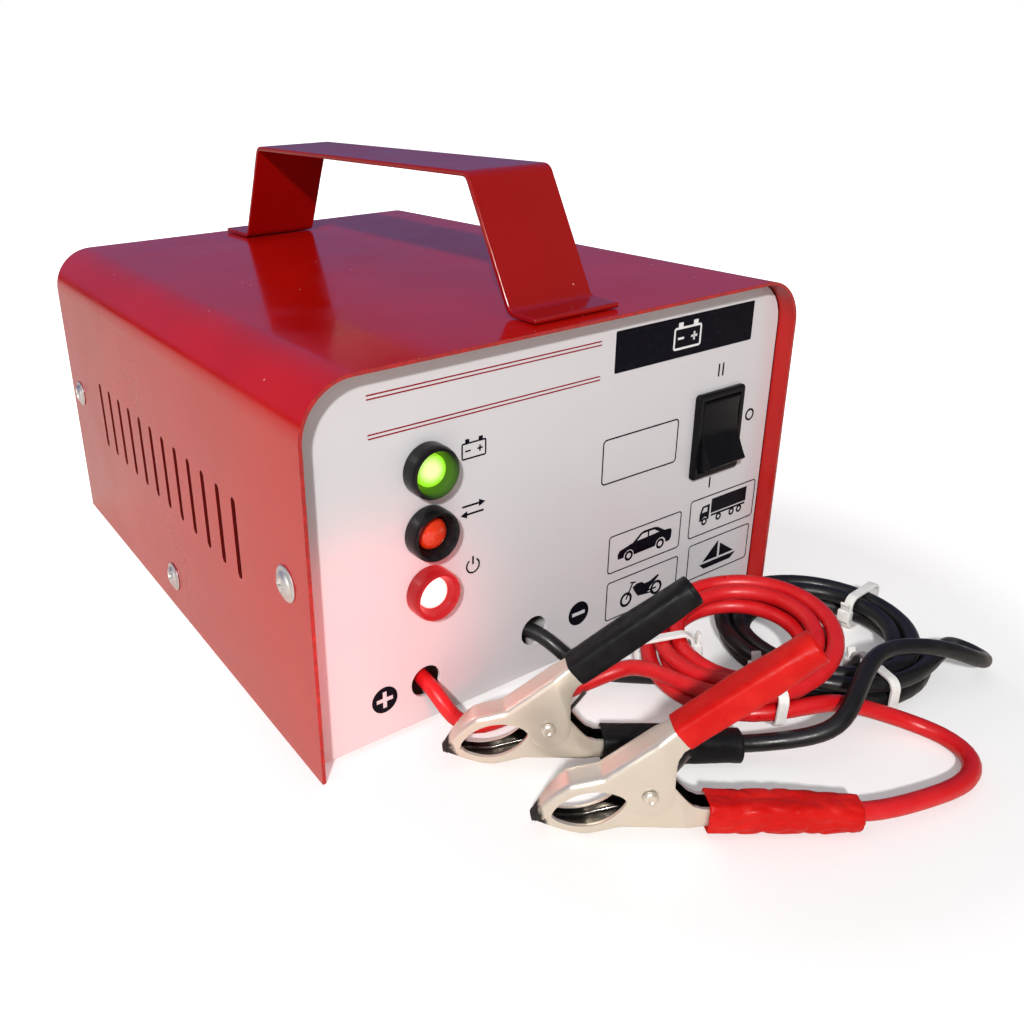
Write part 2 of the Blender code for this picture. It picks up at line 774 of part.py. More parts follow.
def make_switch(looks):
    """A rocker switch: a frame with a body behind the panel, and the rocker that turns in it."""
    face = PANEL - SWITCH_RIM_RISE
    pivot = Vector((SWITCH_X, face + ROCKER_PIVOT_DEPTH, SWITCH_Z))
    rim = rectangle(SWITCH_X, SWITCH_Z, SWITCH_WIDTH, SWITCH_HEIGHT, corner=SWITCH_LIP)
    frame = solid(
        "switch_frame", prism(rim, "y", face, PANEL - GAP), looks["black_plastic"], smooth=35
    )
    width, height = switch_body_size()
    body = rectangle(SWITCH_X, SWITCH_Z, width, height)
    deep = PANEL + SWITCH_BODY_DEPTH
    combine(frame, "UNION", [prism(body, "y", face + SWITCH_RIM_RISE / 2, deep)])
    mouth = 2 * (ROCKER_RADIUS + GAP)
    cavity = rectangle(SWITCH_X, SWITCH_Z, ROCKER_WIDTH + 2 * GAP, mouth)
    swing = ROCKER_RADIUS * sin(ROCKER_BACK + ROCKER_TILT)
    floor = pivot.y + swing + 2 * GAP
    combine(frame, "DIFFERENCE", [prism(cavity, "y", face - SHEET, floor)])
    reach = ROCKER_WIDTH / 2 + TRUNNION_LENGTH + GAP
    bearing = circle(pivot.y, pivot.z, TRUNNION + 2 * GAP, 12)
    combine(frame, "DIFFERENCE", [prism(bearing, "x", SWITCH_X - reach, SWITCH_X + reach)])
    blade_width, blade_sheet, blade_length = SWITCH_BLADE
    blades = []
    for step in (-1, 0, 1):
        centre = (SWITCH_X, deep + blade_length / 2 - SHEET, SWITCH_Z + step * SWITCH_BLADE_PITCH)
        blades.append(box(centre, (blade_width, blade_length, blade_sheet)))
    combine(frame, "UNION", blades)

    joint = link("switch_hinge", None)
    joint.location = pivot
    joint.rotation_euler.x = -ROCKER_TILT
    profile = [(-(ROCKER_PIVOT_DEPTH + GAP), 0.0)]
    steps = 5
    for end in (1, -1):
        arc = []
        for step in range(steps + 1):
            angle = ROCKER_REACH - (ROCKER_BACK + ROCKER_REACH) * step / steps
            arc.append((-ROCKER_RADIUS * sin(angle), end * ROCKER_RADIUS * cos(angle)))
        profile += arc if end == 1 else arc[::-1]
    half = ROCKER_WIDTH / 2
    rocker = solid(
        "switch_rocker", prism(profile, "x", -half, half), looks["black_plastic"], smooth=25
    )
    rocker.parent = joint
    stub = half + TRUNNION_LENGTH
    combine(rocker, "UNION", [prism(circle(0, 0, TRUNNION, 12), "x", -stub, stub)])
    rocker.modifiers[-1].object.parent = joint


# ---------------------------------------------------------------- inside the case
def strap_screw_places():
    reach = STRAP_REACH - STRAP_FOOT / 2
    return CORE_X - reach, CORE_X + reach


def make_transformer(looks):
    """A stack of laminations with the winding on its middle limb, held down by a strap."""
    low = SHEET + GAP
    middle = low + CORE_HEIGHT / 2
    front, back = CORE_Y - CORE_STACK / 2, CORE_Y + CORE_STACK / 2
    core = solid(
        "transformer_core",
        prism(rectangle(CORE_X, middle, CORE_WIDTH, CORE_HEIGHT), "y", front, back),
        looks["lamination"],
    )
    window_height = CORE_HEIGHT - 2 * CORE_LIMB
    windows = []
    for side in (-1, 1):
        window = rectangle(CORE_X + side * 1.5 * CORE_LIMB, middle, CORE_LIMB, window_height)
        windows.append(prism(window, "y", front - SHEET, back + SHEET))
    combine(core, "DIFFERENCE", windows)

    width = 4 * CORE_LIMB - 2 * GAP
    depth = CORE_STACK + 2 * WINDING_BULGE
    half = window_height / 2 - GAP
    coil = rectangle(CORE_X, CORE_Y, width, depth, corner=WINDING_CORNER)
    winding = solid(
        "transformer_winding",
        prism(coil, "z", middle - half, middle + half),
        looks["winding_tape"],
        smooth=35,
    )
    limb = rectangle(CORE_X, CORE_Y, 2 * (CORE_LIMB + GAP), CORE_STACK + 2 * GAP)
    combine(winding, "DIFFERENCE", [prism(limb, "z", 0, CASE_HEIGHT)])

    reach, foot = CORE_WIDTH / 2 + GAP + STRAP_SHEET / 2, STRAP_REACH
    base = SHEET + GAP + STRAP_SHEET / 2
    top = low + CORE_HEIGHT + GAP + STRAP_SHEET / 2
    corners = [(-foot, base), (-reach, base), (-reach, top), (reach, top), (reach, base), (foot, base)]
    path = [Vector((CORE_X + x, z)) for x, z in corners]
    band = CORE_STACK * 0.6
    strap = solid(
        "transformer_strap",
        prism(ribbon(path, STRAP_SHEET), "y", CORE_Y - band / 2, CORE_Y + band / 2),
        looks["zinc"],
    )
    hole = SCREW_SHANK + 2 * GAP
    holes = [prism(circle(x, CORE_Y, hole, 12), "z", 0, base + STRAP_SHEET) for x in strap_screw_places()]
    combine(strap, "DIFFERENCE", holes)
    head = base + STRAP_SHEET / 2 + GAP
    mesh = make_screw_mesh("strap_screw", head - GAP)
    mesh.materials.append(looks["zinc"])
    for x, word in zip(strap_screw_places(), ("left", "right")):
        link(f"transformer_screw_{word}", mesh, place=facing((x, CORE_Y, head), (0, 0, 1)))


def make_board(looks):
    """The control board on four spacers, with its larger components."""
    top = BOARD_HEIGHT + BOARD_SHEET
    outline = rectangle(BOARD_X, BOARD_Y, BOARD_WIDTH, BOARD_DEPTH)
    board = solid("board", prism(outline, "z", BOARD_HEIGHT, top), looks["board"])
    pin = SPACER / 2
    tip = top + BOARD_SHEET
    profile = [
        (0, tip),
        (pin * 0.3, tip),
        (pin / 2, top),
        (pin / 2, BOARD_HEIGHT - GAP),
        (SPACER / 2, BOARD_HEIGHT - GAP),
        (SPACER / 2, SHEET + GAP),
        (0, SHEET + GAP),
    ]
    holes = []
    for row, near in enumerate((-1, 1)):
        for column, side in enumerate((-1, 1)):
            x = BOARD_X + side * (BOARD_WIDTH / 2 - SPACER_INSET)
            y = BOARD_Y + near * (BOARD_DEPTH / 2 - SPACER_INSET)
            holes.append(prism(circle(x, y, pin + 2 * GAP, 12), "z", SHEET, tip))
            name = f"board_spacer_{2 * row + column + 1}"
            place = Matrix.Translation((x, y, 0))
            solid(name, turned(profile, 12), looks["nylon"], place, smooth=40)
    combine(board, "DIFFERENCE", holes)
    make_heat_sink(looks, top + GAP)
    radius = CAPACITOR / 2
    can = [
        (0, CAPACITOR_HEIGHT),
        (radius * 0.9, CAPACITOR_HEIGHT),
        (radius, CAPACITOR_HEIGHT - radius * 0.1),
        (radius, 0),
        (0, 0),
    ]
    place = Matrix.Translation((BOARD_X - BOARD_WIDTH / 4, BOARD_Y, top + GAP))
    solid("capacitor", turned(can, 18), looks["blue_sleeve"], place, smooth=40)


def make_heat_sink(looks, seat):
    """A comb of fins with the thyristor against its back."""
    left, y = BOARD_X + SINK_SHIFT - SINK_WIDTH / 2, BOARD_Y + SINK_BACK
    pitch = (SINK_WIDTH - FIN) / (FIN_COUNT - 1)
    outline = [(left, y), (left + SINK_WIDTH, y)]
    for place in range(FIN_COUNT - 1, -1, -1):
        start = left + place * pitch
        if place < FIN_COUNT - 1:
            outline.append((start + FIN, y + SINK_BASE))
        outline += [(start + FIN, y + SINK_DEPTH), (start, y + SINK_DEPTH)]
        if place:
            outline.append((start, y + SINK_BASE))
    solid("heat_sink", prism(outline, "z", seat, seat + SINK_HEIGHT), looks["aluminium"])

    x, back = BOARD_X + SINK_SHIFT, y - GAP
    width, thick, body_height = THYRISTOR
    tab_sheet, leg = thick * 0.3, thick * 0.15
    legs_height = body_height * 0.7
    tab = box(
        (x, back - tab_sheet / 2, seat + legs_height + body_height * 0.8),
        (width, tab_sheet, body_height * 1.6),
    )
    thyristor = solid("thyristor", tab, looks["black_plastic"])
    body = box(
        (x, back - tab_sheet / 2 - thick / 2, seat + legs_height + body_height / 2),
        (width * 0.98, thick, body_height * 0.98),
    )
    combine(thyristor, "UNION", [body])
    legs = []
    for step in (-1, 0, 1):
        centre = (x + step * width / 4, back - thick / 2, seat + legs_height * 0.55)
        legs.append(box(centre, (leg, leg, legs_height * 1.1)))
    combine(thyristor, "UNION", legs)


def make_terminals(looks):
    """A block on the board's front edge, where the two leads are clamped."""
    _, depth, height = TERMINAL_BLOCK
    centre = (BOARD_X, TERMINAL_FACE + depth / 2, TERMINAL_SEAT + height / 2)
    block = solid("terminal_block", box(centre, TERMINAL_BLOCK), looks["black_plastic"])
    wells = []
    for x in (TERMINAL_RED_X, TERMINAL_BLACK_X):
        well = circle(x, centre[1], TERMINAL_PITCH * 0.4, 12)
        wells.append(prism(well, "z", TERMINAL_SEAT + height * 0.75, CASE_HEIGHT))
    combine(block, "DIFFERENCE", wells)


# ---------------------------------------------------------------- back panel
def make_back_fittings(looks):
    """The mains cord's grommet, the fuse holder and the voltage selector."""
    rim, barrel, bore = GROMMET_RIM / 2, GROMMET / 2, CORD_BORE / 2
    profile = [
        (bore, GROMMET_RISE),
        (rim * 0.75, GROMMET_RISE),
        (rim, GROMMET_RISE * 0.6),
        (rim, GAP),
        (barrel, GAP),
        (barrel, -GROMMET_DEPTH / 2),
        (barrel * 0.85, -GROMMET_DEPTH),
        (bore, -GROMMET_DEPTH),
    ]
    place = facing((GROMMET_X, REAR_PANEL, GROMMET_Z), (0, 1, 0))
    solid("cord_grommet", turned(profile, 18, hollow=True), looks["black_plastic"], place, smooth=40)

    place = facing((FUSE_X, REAR_PANEL, FUSE_Z), (0, 1, 0))
    rim, barrel, well = FUSE_RIM / 2, FUSE_BODY / 2, FUSE_WELL / 2
    rise = SHEET + GAP
    holder = [(0, rise), (rim * 0.92, rise), (rim, rise * 0.6), (rim, GAP), (barrel, GAP)]
    holder += [(barrel, -FUSE_DEPTH), (0, -FUSE_DEPTH)]
    body = solid("fuse_holder", turned(holder, 16), looks["black_plastic"], place, smooth=40)
    bottom = 2 * SHEET - FUSE_DEPTH
    bore = [(0, 2 * rise), (well, 2 * rise), (well, bottom), (0, bottom)]
    combine(body, "DIFFERENCE", [turned(bore, 16)], place)

    joint = link("fuse_cap_hinge", None, place=place)
    knob, plug = FUSE_CAP / 2, well - GAP
    cap = [
        (0, FUSE_CAP_RISE),
        (knob * 0.88, FUSE_CAP_RISE),
        (knob, FUSE_CAP_RISE * 0.84),
        (knob, rise + GAP),
        (plug, rise + GAP),
        (plug, -FUSE_PLUG),
        (0, -FUSE_PLUG),
    ]
    cap = solid("fuse_cap", turned(cap, 16), looks["black_plastic"], smooth=40)
    cap.parent = joint
    slot = box((0, 0, FUSE_CAP_RISE), (FUSE_CAP * 0.76, FUSE_SLOT, 2 * FUSE_SLOT))
    combine(cap, "DIFFERENCE", [slot])
    cap.modifiers[-1].object.parent = joint

    top, end = -FUSE_PLUG - GAP, -FUSE_PLUG - GAP - FUSE_LINK_LENGTH
    cap_end, glass, collar = FUSE_LINK / 2, FUSE_LINK / 2 - GAP, FUSE_LINK_LENGTH * 0.27
    fuse = [(0, top), (cap_end, top), (cap_end, top - collar), (glass, top - collar)]
    fuse += [(glass, end + collar), (cap_end, end + collar), (cap_end, end), (0, end)]
    solid("fuse_link", turned(fuse, 12), looks["glass"], place, smooth=40)
    make_selector(looks)


def selector_body_size():
    return SELECTOR_WIDTH - 4 * SELECTOR_LIP, SELECTOR_HEIGHT - 3 * SELECTOR_LIP


def make_selector(looks):
    """A slide switch for the supply voltage."""
    face = REAR_PANEL + GAP + SELECTOR_LIP
    rim = rectangle(SELECTOR_X, SELECTOR_Z, SELECTOR_WIDTH, SELECTOR_HEIGHT, corner=SELECTOR_LIP)
    body = solid(
        "selector_body", prism(rim, "y", REAR_PANEL + GAP, face), looks["black_plastic"], smooth=35
    )
    width, height = selector_body_size()
    back = rectangle(SELECTOR_X, SELECTOR_Z, width, height)
    inside = REAR_PANEL - SELECTOR_DEPTH
    combine(body, "UNION", [prism(back, "y", inside, face - SELECTOR_LIP / 2)])
    slot = rectangle(
        SELECTOR_X,
        SELECTOR_Z,
        SLIDER_WIDTH + SELECTOR_TRAVEL + 2 * GAP,
        SLIDER_HEIGHT + 2 * GAP,
    )
    deep = REAR_PANEL - SELECTOR_DEPTH / 2
    combine(body, "DIFFERENCE", [prism(slot, "y", deep, BACK)])
    joint = link("selector_slide", None)
    joint.location = (SELECTOR_X - SELECTOR_TRAVEL / 2, deep + GAP, SELECTOR_Z)
    thick = face + SELECTOR_LIP - (deep + GAP)
    nub = prism(rectangle(0, 0, SLIDER_WIDTH, SLIDER_HEIGHT), "y", 0, thick)
    slider = solid("selector_slider", nub, looks["red_vinyl"])
    slider.parent = joint
    groove = box((0, thick, 0), (SELECTOR_LIP, SELECTOR_LIP, 2 * SLIDER_HEIGHT))
    combine(slider, "DIFFERENCE", [groove])
    slider.modifiers[-1].object.parent = joint


# ---------------------------------------------------------------- clips
def arm_outline(along):
    """(inner edge, outer face) of a clip's arm at this place along the clip, off its middle line."""
    if along < CLIP_BULGE:
        part = (CLIP_BULGE - along) / (CLIP_BULGE - CLIP_TIP)
        rise = CLIP_BELLY - CLIP_TIP_HEIGHT
        outer = CLIP_TIP_HEIGHT + rise * sqrt(max(0.0, 1 - part * part))
    elif along < CLIP_STRAIGHT:
        part = (along - CLIP_BULGE) / (CLIP_STRAIGHT - CLIP_BULGE)
        outer = CLIP_BELLY + (CLIP_BACK - CLIP_BELLY) * part
    else:
        outer = CLIP_BACK + tan(CLIP_SPREAD) * (along - CLIP_STRAIGHT)
    if along <= CLIP_EYE_FRONT:
        inner = GAP / 2
    elif along <= CLIP_EYE_BACK:
        part = (along - CLIP_EYE_FRONT) / (CLIP_EYE_BACK - CLIP_EYE_FRONT)
        inner = GAP / 2 + CLIP_EYE_DEPTH * max(0.0, sin(pi * part)) ** 0.8
    elif along <= CLIP_CHEEK:
        inner = -sqrt(max(0.0, CLIP_CHEEK**2 - along**2))
    else:
        part = min(1.0, (along - CLIP_CHEEK) / (CLIP_CROTCH - CLIP_CHEEK))
        inner = (outer - CHANNEL_HEIGHT) * sin(part * pi / 2)
    return inner, outer


def arm_stations():
    """(place along the clip, inner edge, outer face) from the teeth to the end of the handle."""
    stations = []
    pitch = (CLIP_EYE_FRONT - CLIP_TIP) / CLIP_TEETH
    for tooth in range(CLIP_TEETH):
        for part, bite in ((0.0, 0.0), (0.5, CLIP_SHEET * 0.7)):
            along = CLIP_TIP + (tooth + part) * pitch
            inner, outer = arm_outline(along)
            stations.append((along, inner + bite, outer))
    stretches = (
        (CLIP_EYE_FRONT, CLIP_EYE_BACK, 9),
        (CLIP_EYE_BACK + GAP, CLIP_CHEEK, 7),
        (CLIP_CHEEK * 1.12, CLIP_CROTCH, 4),
    )
    for low, high, count in stretches:
        for step in range(count):
            along = low + (high - low) * step / (count - 1)
            stations.append((along, *arm_outline(along)))
    stations.append((HANDLE_END, *arm_outline(HANDLE_END)))
    return stations


def make_arm(name, look, side):
    """A stamped steel arm: a channel with its web outside. side is 1 for the upper arm."""
    shape = bmesh.new()
    bend = CLIP_SHEET * 1.4
    rows = []
    for along, inner, outer in arm_stations():
        grown = min(1.0, (along - CLIP_TIP) / (CLIP_BULGE * 0.8 - CLIP_TIP))
        half = CLIP_WIDTH / 2 * (0.55 + 0.45 * sin(grown * pi / 2))
        flank = [
            (half, inner),
            (half, max(outer - bend, inner + GAP)),
            (half - bend * 0.3, outer - bend * 0.3),
            (half - bend, outer),
        ]
        section = flank + [(-width, height) for width, height in flank[::-1]]
        row = []
        for width, height in section:
            point = (along, width - side * CLIP_STAGGER, side * height)
            row.append(shape.verts.new(point))
        rows.append(row)
    for first, second in zip(rows, rows[1:]):
        for step in range(len(first) - 1):
            shape.faces.new((first[step], first[step + 1], second[step + 1], second[step]))
    arm = solid(name, shape, look, smooth=45)
    if arm.data.polygons[0].normal.y < 0:
        arm.data.flip_normals()
    skin = arm.modifiers.new("Sheet", "SOLIDIFY")
    skin.thickness = CLIP_SHEET
    skin.offset = -1
    skin.use_even_offset = True
    hole = prism(circle(0, 0, PIN + 2 * GAP, 14), "y", -CLIP_WIDTH, CLIP_WIDTH)
    combine(arm, "DIFFERENCE", [hole])
    return arm


def make_sleeve(name, look, side):
    """A soft vinyl tube pushed over an arm's handle, open and a little wider at its end."""
    along_handle = Vector((cos(CLIP_SPREAD), 0, side * sin(CLIP_SPREAD)))
    outward = Vector((-sin(CLIP_SPREAD), 0, side * cos(CLIP_SPREAD)))
    origin = Vector((CLIP_STRAIGHT, -side * CLIP_STAGGER, side * CLIP_BACK))
    first = (SLEEVE_START - CLIP_STRAIGHT) / cos(CLIP_SPREAD)
    tall = CHANNEL_HEIGHT * cos(CLIP_SPREAD)
    stops = [(0.0, 0.0), (0.85, 0.0), (1.0, SLEEVE_FLARE)]
    rings = []
    for wall, corner, order in (
        (GAP + SLEEVE_SHEET, SLEEVE_CORNER, stops),
        (GAP, 2 * GAP, stops[::-1]),
    ):
        for part, flare in order:
            width = CLIP_WIDTH + 2 * (wall + flare)
            height = tall + 2 * (wall + flare) + GAP
            ring = []
            outline = rectangle(0, -flare - tall / 2, width, height, corner=corner)
            for across, up in outline:
                reach = first + part * SLEEVE_LENGTH
                point = origin + along_handle * reach + Vector((0, across, 0)) + outward * up
                ring.append(point)
            rings.append(ring)
    return solid(name, loft(rings, closed=False), look, smooth=40)


def make_pin(name, look):
    """The rivet that both arms turn on."""
    reach = CLIP_WIDTH / 2 + CLIP_STAGGER + GAP
    head, stem, rise = PIN_HEAD / 2, PIN / 2, CLIP_SHEET
    profile = [(0, reach + rise), (head * 0.7, reach + rise * 0.75), (head, reach + rise * 0.2)]
    profile += [(head, reach), (stem, reach)]
    profile += [(radius, -height) for radius, height in profile[::-1]]
    place = Matrix.Rotation(pi / 2, 4, "X")
    return solid(name, turned(profile, 12), look, place, smooth=40)


def make_spring(name, look, parent):
    """A torsion spring round the rivet, with one leg along the lower handle."""
    points = []
    count = SPRING_TURNS * SPRING_POINTS
    for step in range(count + 1):
        turn = step / SPRING_POINTS
        angle = SPRING_LEAVE + (turn - SPRING_TURNS) * 2 * pi
        across = (turn - SPRING_TURNS / 2) * SPRING_PITCH
        points.append((SPRING_RADIUS * cos(angle), across, SPRING_RADIUS * sin(angle)))
    print("least gap of", name, "in mm:", round(least_gap(points, WIRE) * 1000, 3))
    along, across, up = points[-1]
    for part in (1 / 3, 2 / 3, 1):
        reach = part * SPRING_LEG
        x, z = along - reach * sin(SPRING_LEAVE), up + reach * cos(SPRING_LEAVE)
        points.append((x, across, z))
    return tube(name, points, WIRE, look, resolution=1, parent=parent)


def make_clip(looks, word, pivot, vinyl):
    """One spring clip standing on its lower arm, with its jaws closed."""
    base = link(f"clip_{word}_seat", None)
    base.matrix_world = Matrix.Translation((*pivot, CLIP_PIVOT_HEIGHT)) @ CLIP_TURN
    hinge = link(f"clip_{word}_hinge", None)
    hinge.parent = base
    for side, level, holder in ((-1, "lower", base), (1, "upper", hinge)):
        arm = make_arm(f"clip_{word}_{level}_arm", looks["nickel"], side)
        arm.parent = holder
        arm.modifiers[-1].object.parent = holder
        make_sleeve(f"clip_{word}_{level}_sleeve", looks[vinyl], side).parent = holder
    make_pin(f"clip_{word}_pin", looks["nickel"]).parent = base
    make_spring(f"clip_{word}_spring", looks["spring_steel"], base)


# ---------------------------------------------------------------- leads
def coil_points(centre, radius, start, support, falls):
    """Loops that spiral in on one layer and out again on the other.

    support gives the height that the coil lies on; a coil that falls starts on its upper layer.
    """
    count = round(COIL_TURNS * LOOP_POINTS)
    points = []
    for step in range(count + 1):
        turn = COIL_TURNS * step / count
        from_middle = turn - COIL_TURNS / 2
        reach = radius - LOOP_PITCH * (COIL_TURNS / 2 - abs(from_middle))
        climb = min(1.0, max(0.0, 2 * from_middle + 0.5))
        climb = climb * climb * (3 - 2 * climb)
        layer = 1 - climb if falls else climb
        x = centre[0] + reach * cos(start + 2 * pi * turn)
        y = centre[1] + reach * sin(start + 2 * pi * turn)
        points.append((x, y, support(x) + CABLE / 2 + LOOP_PITCH * layer))
    return points


def red_support(x):
    return RED_COIL_LOW + RED_COIL_SLOPE * x


def black_support(_):
    return TIE_SHEET + 2 * GAP


def run_out(end, before):
    """The end of a coil, run on straight by one cable diameter, and its direction."""
    along = (Vector(end) - Vector(before)).normalized()
    return Vector(end) + along * CABLE, along


def coil_and_ends(name, points, look):
    """A coil, and where the cable goes on from each of its ends: a point and a direction."""
    start, start_way = run_out(points[0], points[1])
    finish, finish_way = run_out(points[-1], points[-2])
    whole = [tuple(start), *points, tuple(finish)]
    print("least gap of", name, "in mm:", round(least_gap(points, CABLE) * 1000, 3))
    tube(name, whole, CABLE, look, resolution=1)
    return (start + start_way * GAP, start_way), (finish + finish_way * GAP, finish_way)


def stretch(name, middle, look, start=None, finish=None):
    """A free stretch of cable. start and finish are a point and the way on from it."""
    points = list(middle)
    if start:
        points.insert(0, start[0] + start[1] * CABLE)
    if finish:
        points.append(finish[0] + finish[1] * CABLE)
    points = [tuple(point) for point in smooth_route(points, CABLE * 1.15)]
    if start:
        points.insert(0, tuple(start[0]))
    if finish:
        points.append(tuple(finish[0]))
    length = np.linalg.norm(np.diff(points, axis=0), axis=1).sum()
    print("length of", name, "in mm:", round(length * 1000, 1))
    tube(name, points, CABLE, look)


def cord_seat(pivot):
    """Where a cable ends in a clip's lower handle, and the way out of it."""
    turn = Matrix.Translation((*pivot, CLIP_PIVOT_HEIGHT)) @ CLIP_TURN
    way = Vector((cos(CLIP_SPREAD), 0, -sin(CLIP_SPREAD)))
    inward = Vector((sin(CLIP_SPREAD), 0, cos(CLIP_SPREAD)))
    depth = CLIP_SHEET + GAP + CABLE / 2
    end = Vector((CLIP_STRAIGHT, CLIP_STAGGER, -CLIP_BACK)) + way * CORD_REACH + inward * depth
    return turn @ end, (turn.to_3x3() @ way).normalized()


def make_leads(looks):
    red_loops = coil_points(
        RED_COIL_CENTRE, RED_COIL_RADIUS, RED_COIL_START, red_support, falls=True
    )
    black_loops = coil_points(
        BLACK_COIL_CENTRE, BLACK_COIL_RADIUS, BLACK_COIL_START, black_support, falls=False
    )
    red_in, red_out = coil_and_ends("coil_red", red_loops, looks["red_vinyl"])
    black_in, black_out = coil_and_ends("coil_black", black_loops, looks["black_vinyl"])
    starts = []
    for x in (TERMINAL_RED_X, TERMINAL_BLACK_X):
        starts.append((Vector((x, TERMINAL_FACE - GAP, TERMINAL_Z)), Vector((0, -1, 0))))
    stretch("lead_red", RED_LEAD, looks["red_vinyl"], starts[0], red_in)
    stretch("lead_black", BLACK_LEAD, looks["black_vinyl"], starts[1], black_in)
    red_seat, black_seat = cord_seat(RED_CLIP_PIVOT), cord_seat(BLACK_CLIP_PIVOT)
    out_of_sleeve = 4 * CABLE
    red_route = [*RED_TAIL, tuple(red_seat[0] + red_seat[1] * out_of_sleeve)]
    black_route = [*BLACK_TAIL, tuple(black_seat[0] + black_seat[1] * out_of_sleeve)]
    stretch("tail_red", red_route, looks["red_vinyl"], red_out, red_seat)
    stretch("tail_black", black_route, looks["black_vinyl"], black_out, black_seat)


def make_tie(looks, name, centre, radius, support, angle, slope):
    """A nylon tie round both layers of a coil, with its head inside the ring."""
    inner = radius - LOOP_PITCH * COIL_TURNS / 2 - CABLE / 2
    outer = radius + CABLE / 2
    wall = GAP + TIE_SHEET
    middle = (inner + outer) / 2
    x = centre[0] + middle * cos(angle)
    y = centre[1] + middle * sin(angle)
    height = CABLE + LOOP_PITCH
    width = outer - inner
    tilt = Matrix.Rotation(-atan2(slope * cos(angle), 1), 4, "Y")
    place = Matrix.Translation((x, y, support(x) + height / 2))
    place = place @ Matrix.Rotation(angle, 4, "Z") @ tilt
    rings = []
    for side, thickness in ((-1, wall), (1, wall), (1, GAP), (-1, GAP)):
        outline = rectangle(
            0, 0, width + 2 * thickness, height + 2 * thickness, corner=TIE_CORNER + thickness
        )
        rings.append([(u, side * TIE_WIDTH / 2, v) for u, v in outline])
    tie = solid(name, loft(rings, closed=False), looks["nylon"], place, smooth=40)
    edge = -width / 2 - wall
    head = box((edge - TIE_WIDTH * 0.3, 0, 0), (TIE_WIDTH, TIE_WIDTH * 1.5, TIE_WIDTH * 1.5))
    tail = box((edge - TIE_TAIL / 2, 0, 0), (TIE_TAIL, TIE_WIDTH, TIE_SHEET))
    combine(tie, "UNION", [head], place)
    combine(tie, "UNION", [tail], place)


def make_ties(looks):
    for place, degrees in enumerate(RED_TIES):
        make_tie(
            looks,
            f"tie_red_{place + 1}",
            RED_COIL_CENTRE,
            RED_COIL_RADIUS,
            red_support,
            radians(degrees),
            RED_COIL_SLOPE,
        )
    for place, degrees in enumerate(BLACK_TIES):
        make_tie(
            looks,
            f"tie_black_{place + 1}",
            BLACK_COIL_CENTRE,
            BLACK_COIL_RADIUS,
            black_support,
            radians(degrees),
            0,
        )


def main():
    clear_scene()
    looks = make_materials()
    make_cover(looks)
    make_chassis(looks)
    make_cover_screws(looks)
    make_handle(looks)
    make_lamps(looks)
    make_switch(looks)
    make_transformer(looks)
    make_board(looks)
    make_terminals(looks)
    make_back_fittings(looks)
    make_clip(looks, "red", RED_CLIP_PIVOT, "red_vinyl")
    make_clip(looks, "black", BLACK_CLIP_PIVOT, "black_vinyl")
    make_leads(looks)
    make_ties(looks)


if __name__ == "__main__":
    main()
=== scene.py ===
"""The looks of a battery charger: a red lacquered case, and two coiled leads that end in clips.

Metres, +Z up, in the frame's own axes: to someone who faces the panel, X runs to the right and
+Y to the back.
"""
from contextlib import contextmanager
from math import atan2, cos, pi, radians, sin, sqrt, tan

import bmesh
import bpy
import numpy as np
from mathutils import Matrix, Vector, noise


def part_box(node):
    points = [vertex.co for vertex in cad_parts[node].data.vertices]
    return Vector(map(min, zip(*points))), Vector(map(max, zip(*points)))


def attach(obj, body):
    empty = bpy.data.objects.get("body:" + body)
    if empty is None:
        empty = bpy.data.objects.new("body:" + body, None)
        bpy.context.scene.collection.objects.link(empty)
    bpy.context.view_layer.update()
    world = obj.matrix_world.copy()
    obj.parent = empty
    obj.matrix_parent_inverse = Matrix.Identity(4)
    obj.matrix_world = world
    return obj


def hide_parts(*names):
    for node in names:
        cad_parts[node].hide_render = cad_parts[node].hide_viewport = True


# ---------------------------------------------------------------- sizes
GAP = 0.0003  # left between pieces that touch
CASE_WIDTH = 0.168
CASE_DEPTH = 0.202
CASE_HEIGHT = 0.105
CASE_CORNER = 0.0145
SHEET = 0.001
FRONT = -CASE_DEPTH / 2
PANEL = FRONT + 0.0055  # outer face of the front panel
REAR_PANEL = -PANEL

VENT_COUNT = 12
VENT_PITCH = 0.0108
VENT_WIDTH = 0.0027
VENT_LOW = 0.0395
VENT_HIGH = 0.0635

LAMP_X = -0.0475
LAMP_TOP = 0.075
LAMP_PITCH = 0.017
LAMP_RISE = 0.005
SWITCH_X = 0.0585
SWITCH_Z = 0.060
SWITCH_FACE = PANEL - 0.002
SCREW_PLACES = (("front", -0.089, 0.052), ("middle", 0.0, 0.0125), ("back", 0.089, 0.052))
CORD_HOLES = ((-0.0488, 0.0133), (-0.0114, 0.0150))  # X, Z of the leads' holes in the panel

LABEL_SHEET = 0.00015
LABEL_FACE = PANEL - LABEL_SHEET
INK = 0.00004
MM = 0.001  # the silhouettes are drawn in millimetres
LACQUER = (0.43, 0.0030, 0.0012)

